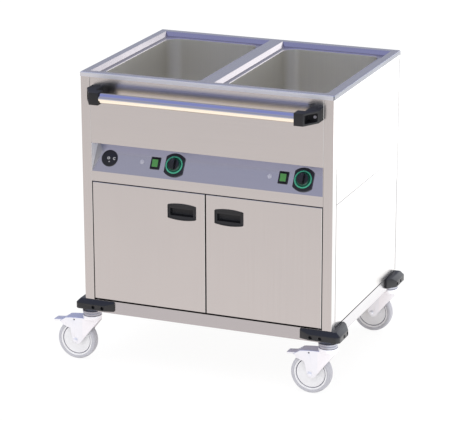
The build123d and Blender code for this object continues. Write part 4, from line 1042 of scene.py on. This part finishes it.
crease_back, pin_end = 25 * MM, 1 * MM
for name in corners:
    fork = from_solid(f"{name}_fork")
    soften(fork, 0.6)
    crease = joints[f"{name}_swivel"]["pos_m"][0] - crease_back
    pick(fork, "FACE", lambda p, face: True)
    bpy.ops.mesh.bisect(plane_co=(crease, 0, 0), plane_no=(1, 0, 0))
    bpy.ops.object.mode_set(mode="OBJECT")
    settle(fork, f"{name}_pressed_fork", zinc_bright, f"{name}_fork", stands_for=[f"{name}_fork"])
    finish_faces(fork, flange_painted_light, lambda p, n: p.x > crease)
    finish_faces(fork, painted_sky_on_tops, lambda p, n: n.z > 0.5)
    finish_faces(fork, zinc_dull_and_painted_shade, lambda p, n: n.z < -0.3)
    if f"{name}_pedal" in nodes:
        pedal = from_solid(f"{name}_pedal")
        soften(pedal, 0.8)
        settle(pedal, f"{name}_brake_pedal", zinc_bright, f"{name}_pedal", stands_for=[f"{name}_pedal"])
        low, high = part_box(f"{name}_pedal")
        finish_faces(pedal, painted_sky_on_tops, lambda p, n: n.z > 0.5)
        finish_faces(pedal, pin_steel, lambda p, n: p.y < low.y + pin_end or p.y > high.y - pin_end)
print("forks and pedals softened")

# %% [markdown]
# Between a fork and the base frame sits the swivel race, balls that run under a pressed grey cover. A
# plain cylinder would fill the place. The cover is turned instead, with a flange at its top and a
# rolled edge just above the fork's head, because those two edges are what is seen of it.

# %% Race covers
head = (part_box("castor_front_left_fork")[1] / MM).z
cover_bore, cover_foot, cover_top = 22.2, head + 0.6, base_low.z - 0.1
cover = turned([
    (cover_bore, cover_foot), (26.6, cover_foot), (27.8, head + 1.4), (28.2, head + 3.0),
    (28.2, head + 8.4), (27.4, head + 10.0), (27.0, head + 10.4), (29.6, head + 10.8),
    (29.8, base_low.z - 0.4), (29.4, cover_top), (cover_bore, cover_top), (cover_bore, cover_foot),
])
for name in corners:
    swivel = joints[f"{name}_swivel"]["pos_m"]
    place = Matrix.Translation((swivel[0], swivel[1], 0))
    settle(copied(cover), f"{name}_race_cover", zinc_dull_and_painted_shade, "cabinet", place)
bpy.data.objects.remove(cover)
print("race covers reach from", round(cover_foot, 1), "to", round(cover_top, 1), "mm")

# %% [markdown]
# ## Floor, world and lamps
# The picture stands on plain white. The floor is pale paper that still takes the trolley's shadow.
# Lamps could make paper white, but so much light would burn out the trolley. So for rays that come
# straight from the camera or from a mirror-like surface the paper also glows. Steel shows what stands
# around it, so the glow is a little warm and stronger close in front, and neutral and brighter on the
# right, where it whitens the side.

# %% Where the floor glows, and how much
glow_share, glow_seen, glow_beside, glow_far, glow_near = 0.85, 1.06, 1.7, 1.02, 1.18
beside_from, beside_to, ahead_from, ahead_to = 0.4, 0.55, -3.0, -0.6
floor_material, tree, output = blank("floor_paper")
path = add(tree, "ShaderNodeLightPath").outputs
direct = add(
    tree, "ShaderNodeMath", {0: path["Is Camera Ray"], 1: path["Is Glossy Ray"]}, operation="MAXIMUM"
).outputs[0]
seen = add(
    tree, "ShaderNodeMath", {0: direct, 1: path["Is Transmission Ray"]}, operation="MAXIMUM"
).outputs[0]
share = add(tree, "ShaderNodeMath", {0: seen, 1: glow_share}, operation="MULTIPLY").outputs[0]
spot = add(tree, "ShaderNodeTexCoord").outputs["Object"]
spot = add(tree, "ShaderNodeSeparateXYZ", {"Vector": spot}).outputs
aside = add(
    tree, "ShaderNodeMapRange", {"Value": spot["X"], "From Min": beside_from, "From Max": beside_to}
).outputs[0]
beside = add(
    tree, "ShaderNodeMapRange", {"Value": aside, "To Min": 1.0, "To Max": glow_beside}
).outputs[0]
ahead = add(
    tree, "ShaderNodeMapRange",
    {
        "Value": spot["Y"], "From Min": ahead_from, "From Max": ahead_to,
        "To Min": glow_far, "To Max": glow_near,
    },
).outputs[0]
bright = add(tree, "ShaderNodeMath", {0: beside, 1: ahead}, operation="MULTIPLY").outputs[0]
strength = add(
    tree, "ShaderNodeMix", {"Factor": path["Is Camera Ray"], 2: bright, 3: glow_seen}
).outputs[0]
print("the glow grows to the right from x", beside_from, "to", beside_to, "m")

# %% Paper and its glow
paper = add(tree, "ShaderNodeBsdfDiffuse", {"Color": srgb("#F6F5F2")}).outputs[0]
plain = add(
    tree, "ShaderNodeMath", {0: path["Is Camera Ray"], 1: aside}, operation="MAXIMUM"
).outputs[0]
warm = add(
    tree, "ShaderNodeMix", {"Factor": plain, 6: srgb("#FFF5F2"), 7: srgb("#FFFFFF")}, data_type="RGBA"
).outputs[2]
glow = add(tree, "ShaderNodeEmission", {"Color": warm, "Strength": strength}).outputs[0]
mixed = add(tree, "ShaderNodeMixShader", {0: share, 1: paper, 2: glow}).outputs[0]
tree.links.new(mixed, output.inputs[0])

bpy.ops.object.select_all(action="DESELECT")
bpy.ops.mesh.primitive_plane_add(size=16.0, location=(0, 0, 0))
floor = bpy.context.object
floor.name = "floor"
floor.data.materials.append(floor_material)
print("floor laid,", round(floor.dimensions.x, 1), "m wide")

# %% [markdown]
# Only mirror-like surfaces see the sky: pale at the horizon, then greyer, and blue overhead.
# Everything else gets an even ambient light, and the camera itself sees plain white. A picture of a
# studio could do all this, but a colour ramp over the height needs no file and each of its stops can
# be matched by itself.

# %% World
world = bpy.data.worlds.new("studio")
bpy.context.scene.world = world
world.use_nodes = True
tree = world.node_tree
tree.nodes.clear()
output = tree.nodes.new("ShaderNodeOutputWorld")
path = add(tree, "ShaderNodeLightPath").outputs
direction = add(tree, "ShaderNodeTexCoord").outputs["Generated"]
height = add(tree, "ShaderNodeSeparateXYZ", {"Vector": direction}).outputs["Z"]
sky = add(tree, "ShaderNodeValToRGB", {"Fac": height})
ramp = sky.color_ramp
ramp.elements[0].position, ramp.elements[0].color = 0.0, srgb("#F0F2F8")
ramp.elements[1].position, ramp.elements[1].color = 0.1, srgb("#C6CDE0")
for position, code in ((0.3, "#B4BCD2"), (0.62, "#C8C8D8"), (0.8, "#AAB4F0"), (1.0, "#A9B4F0")):
    stop = ramp.elements.new(position)
    stop.color = srgb(code)
dome = add(tree, "ShaderNodeBackground", {"Color": sky.outputs[0], "Strength": 1.0}).outputs[0]
white = add(tree, "ShaderNodeBackground", {"Color": srgb("#FFFFFF"), "Strength": 1.0}).outputs[0]
ambient = add(tree, "ShaderNodeBackground", {"Color": srgb("#FAFAFF"), "Strength": 1.04}).outputs[0]
in_mirrors = add(
    tree, "ShaderNodeMath", {0: path["Is Glossy Ray"], 1: path["Is Transmission Ray"]},
    operation="MAXIMUM",
).outputs[0]
lit = add(tree, "ShaderNodeMixShader", {0: in_mirrors, 1: ambient, 2: dome}).outputs[0]
shown = add(tree, "ShaderNodeMixShader", {0: path["Is Camera Ray"], 1: lit, 2: white}).outputs[0]
tree.links.new(shown, output.inputs[0])
print("world has", len(ramp.elements), "sky colours")


# %% [markdown]
# Two soft boxes do the rest. The large one behind on the right is mirrored by the side panels and
# whitens them. The one overhead, in front, gives the light that makes the shadows, and it is kept out
# of mirrors, so that no bright square shows in the worktop.

# %% Studio lamps
def soft_box(name, place, target, size, radiance, in_mirrors=True):
    """An area lamp of a given brightness that faces a point and is seen in mirrors only, or nowhere."""
    lamp = bpy.data.lights.new(name, "AREA")
    lamp.shape = "RECTANGLE"
    lamp.size, lamp.size_y = size
    lamp.energy = radiance * math.pi * size[0] * size[1]
    holder = bpy.data.objects.new(name, lamp)
    bpy.context.scene.collection.objects.link(holder)
    facing = Vector(target) - Vector(place)
    turn = facing.to_track_quat("-Z", "Y").to_matrix().to_4x4()
    holder.matrix_world = Matrix.Translation(place) @ turn
    holder.visible_camera = False
    holder.visible_glossy = in_mirrors


soft_box(
    "box_right_rear", place=(1.1, 2.0, 0.95), target=(1.1, 0.0, 0.95), size=(1.8, 1.9), radiance=1.4
)
soft_box(
    "box_overhead", place=(-0.6, -1.2, 3.6), target=(0, 0, 0.6), size=(2.6, 2.6), radiance=0.7,
    in_mirrors=False,
)
print("lamps:", [lamp.name for lamp in bpy.data.lights])
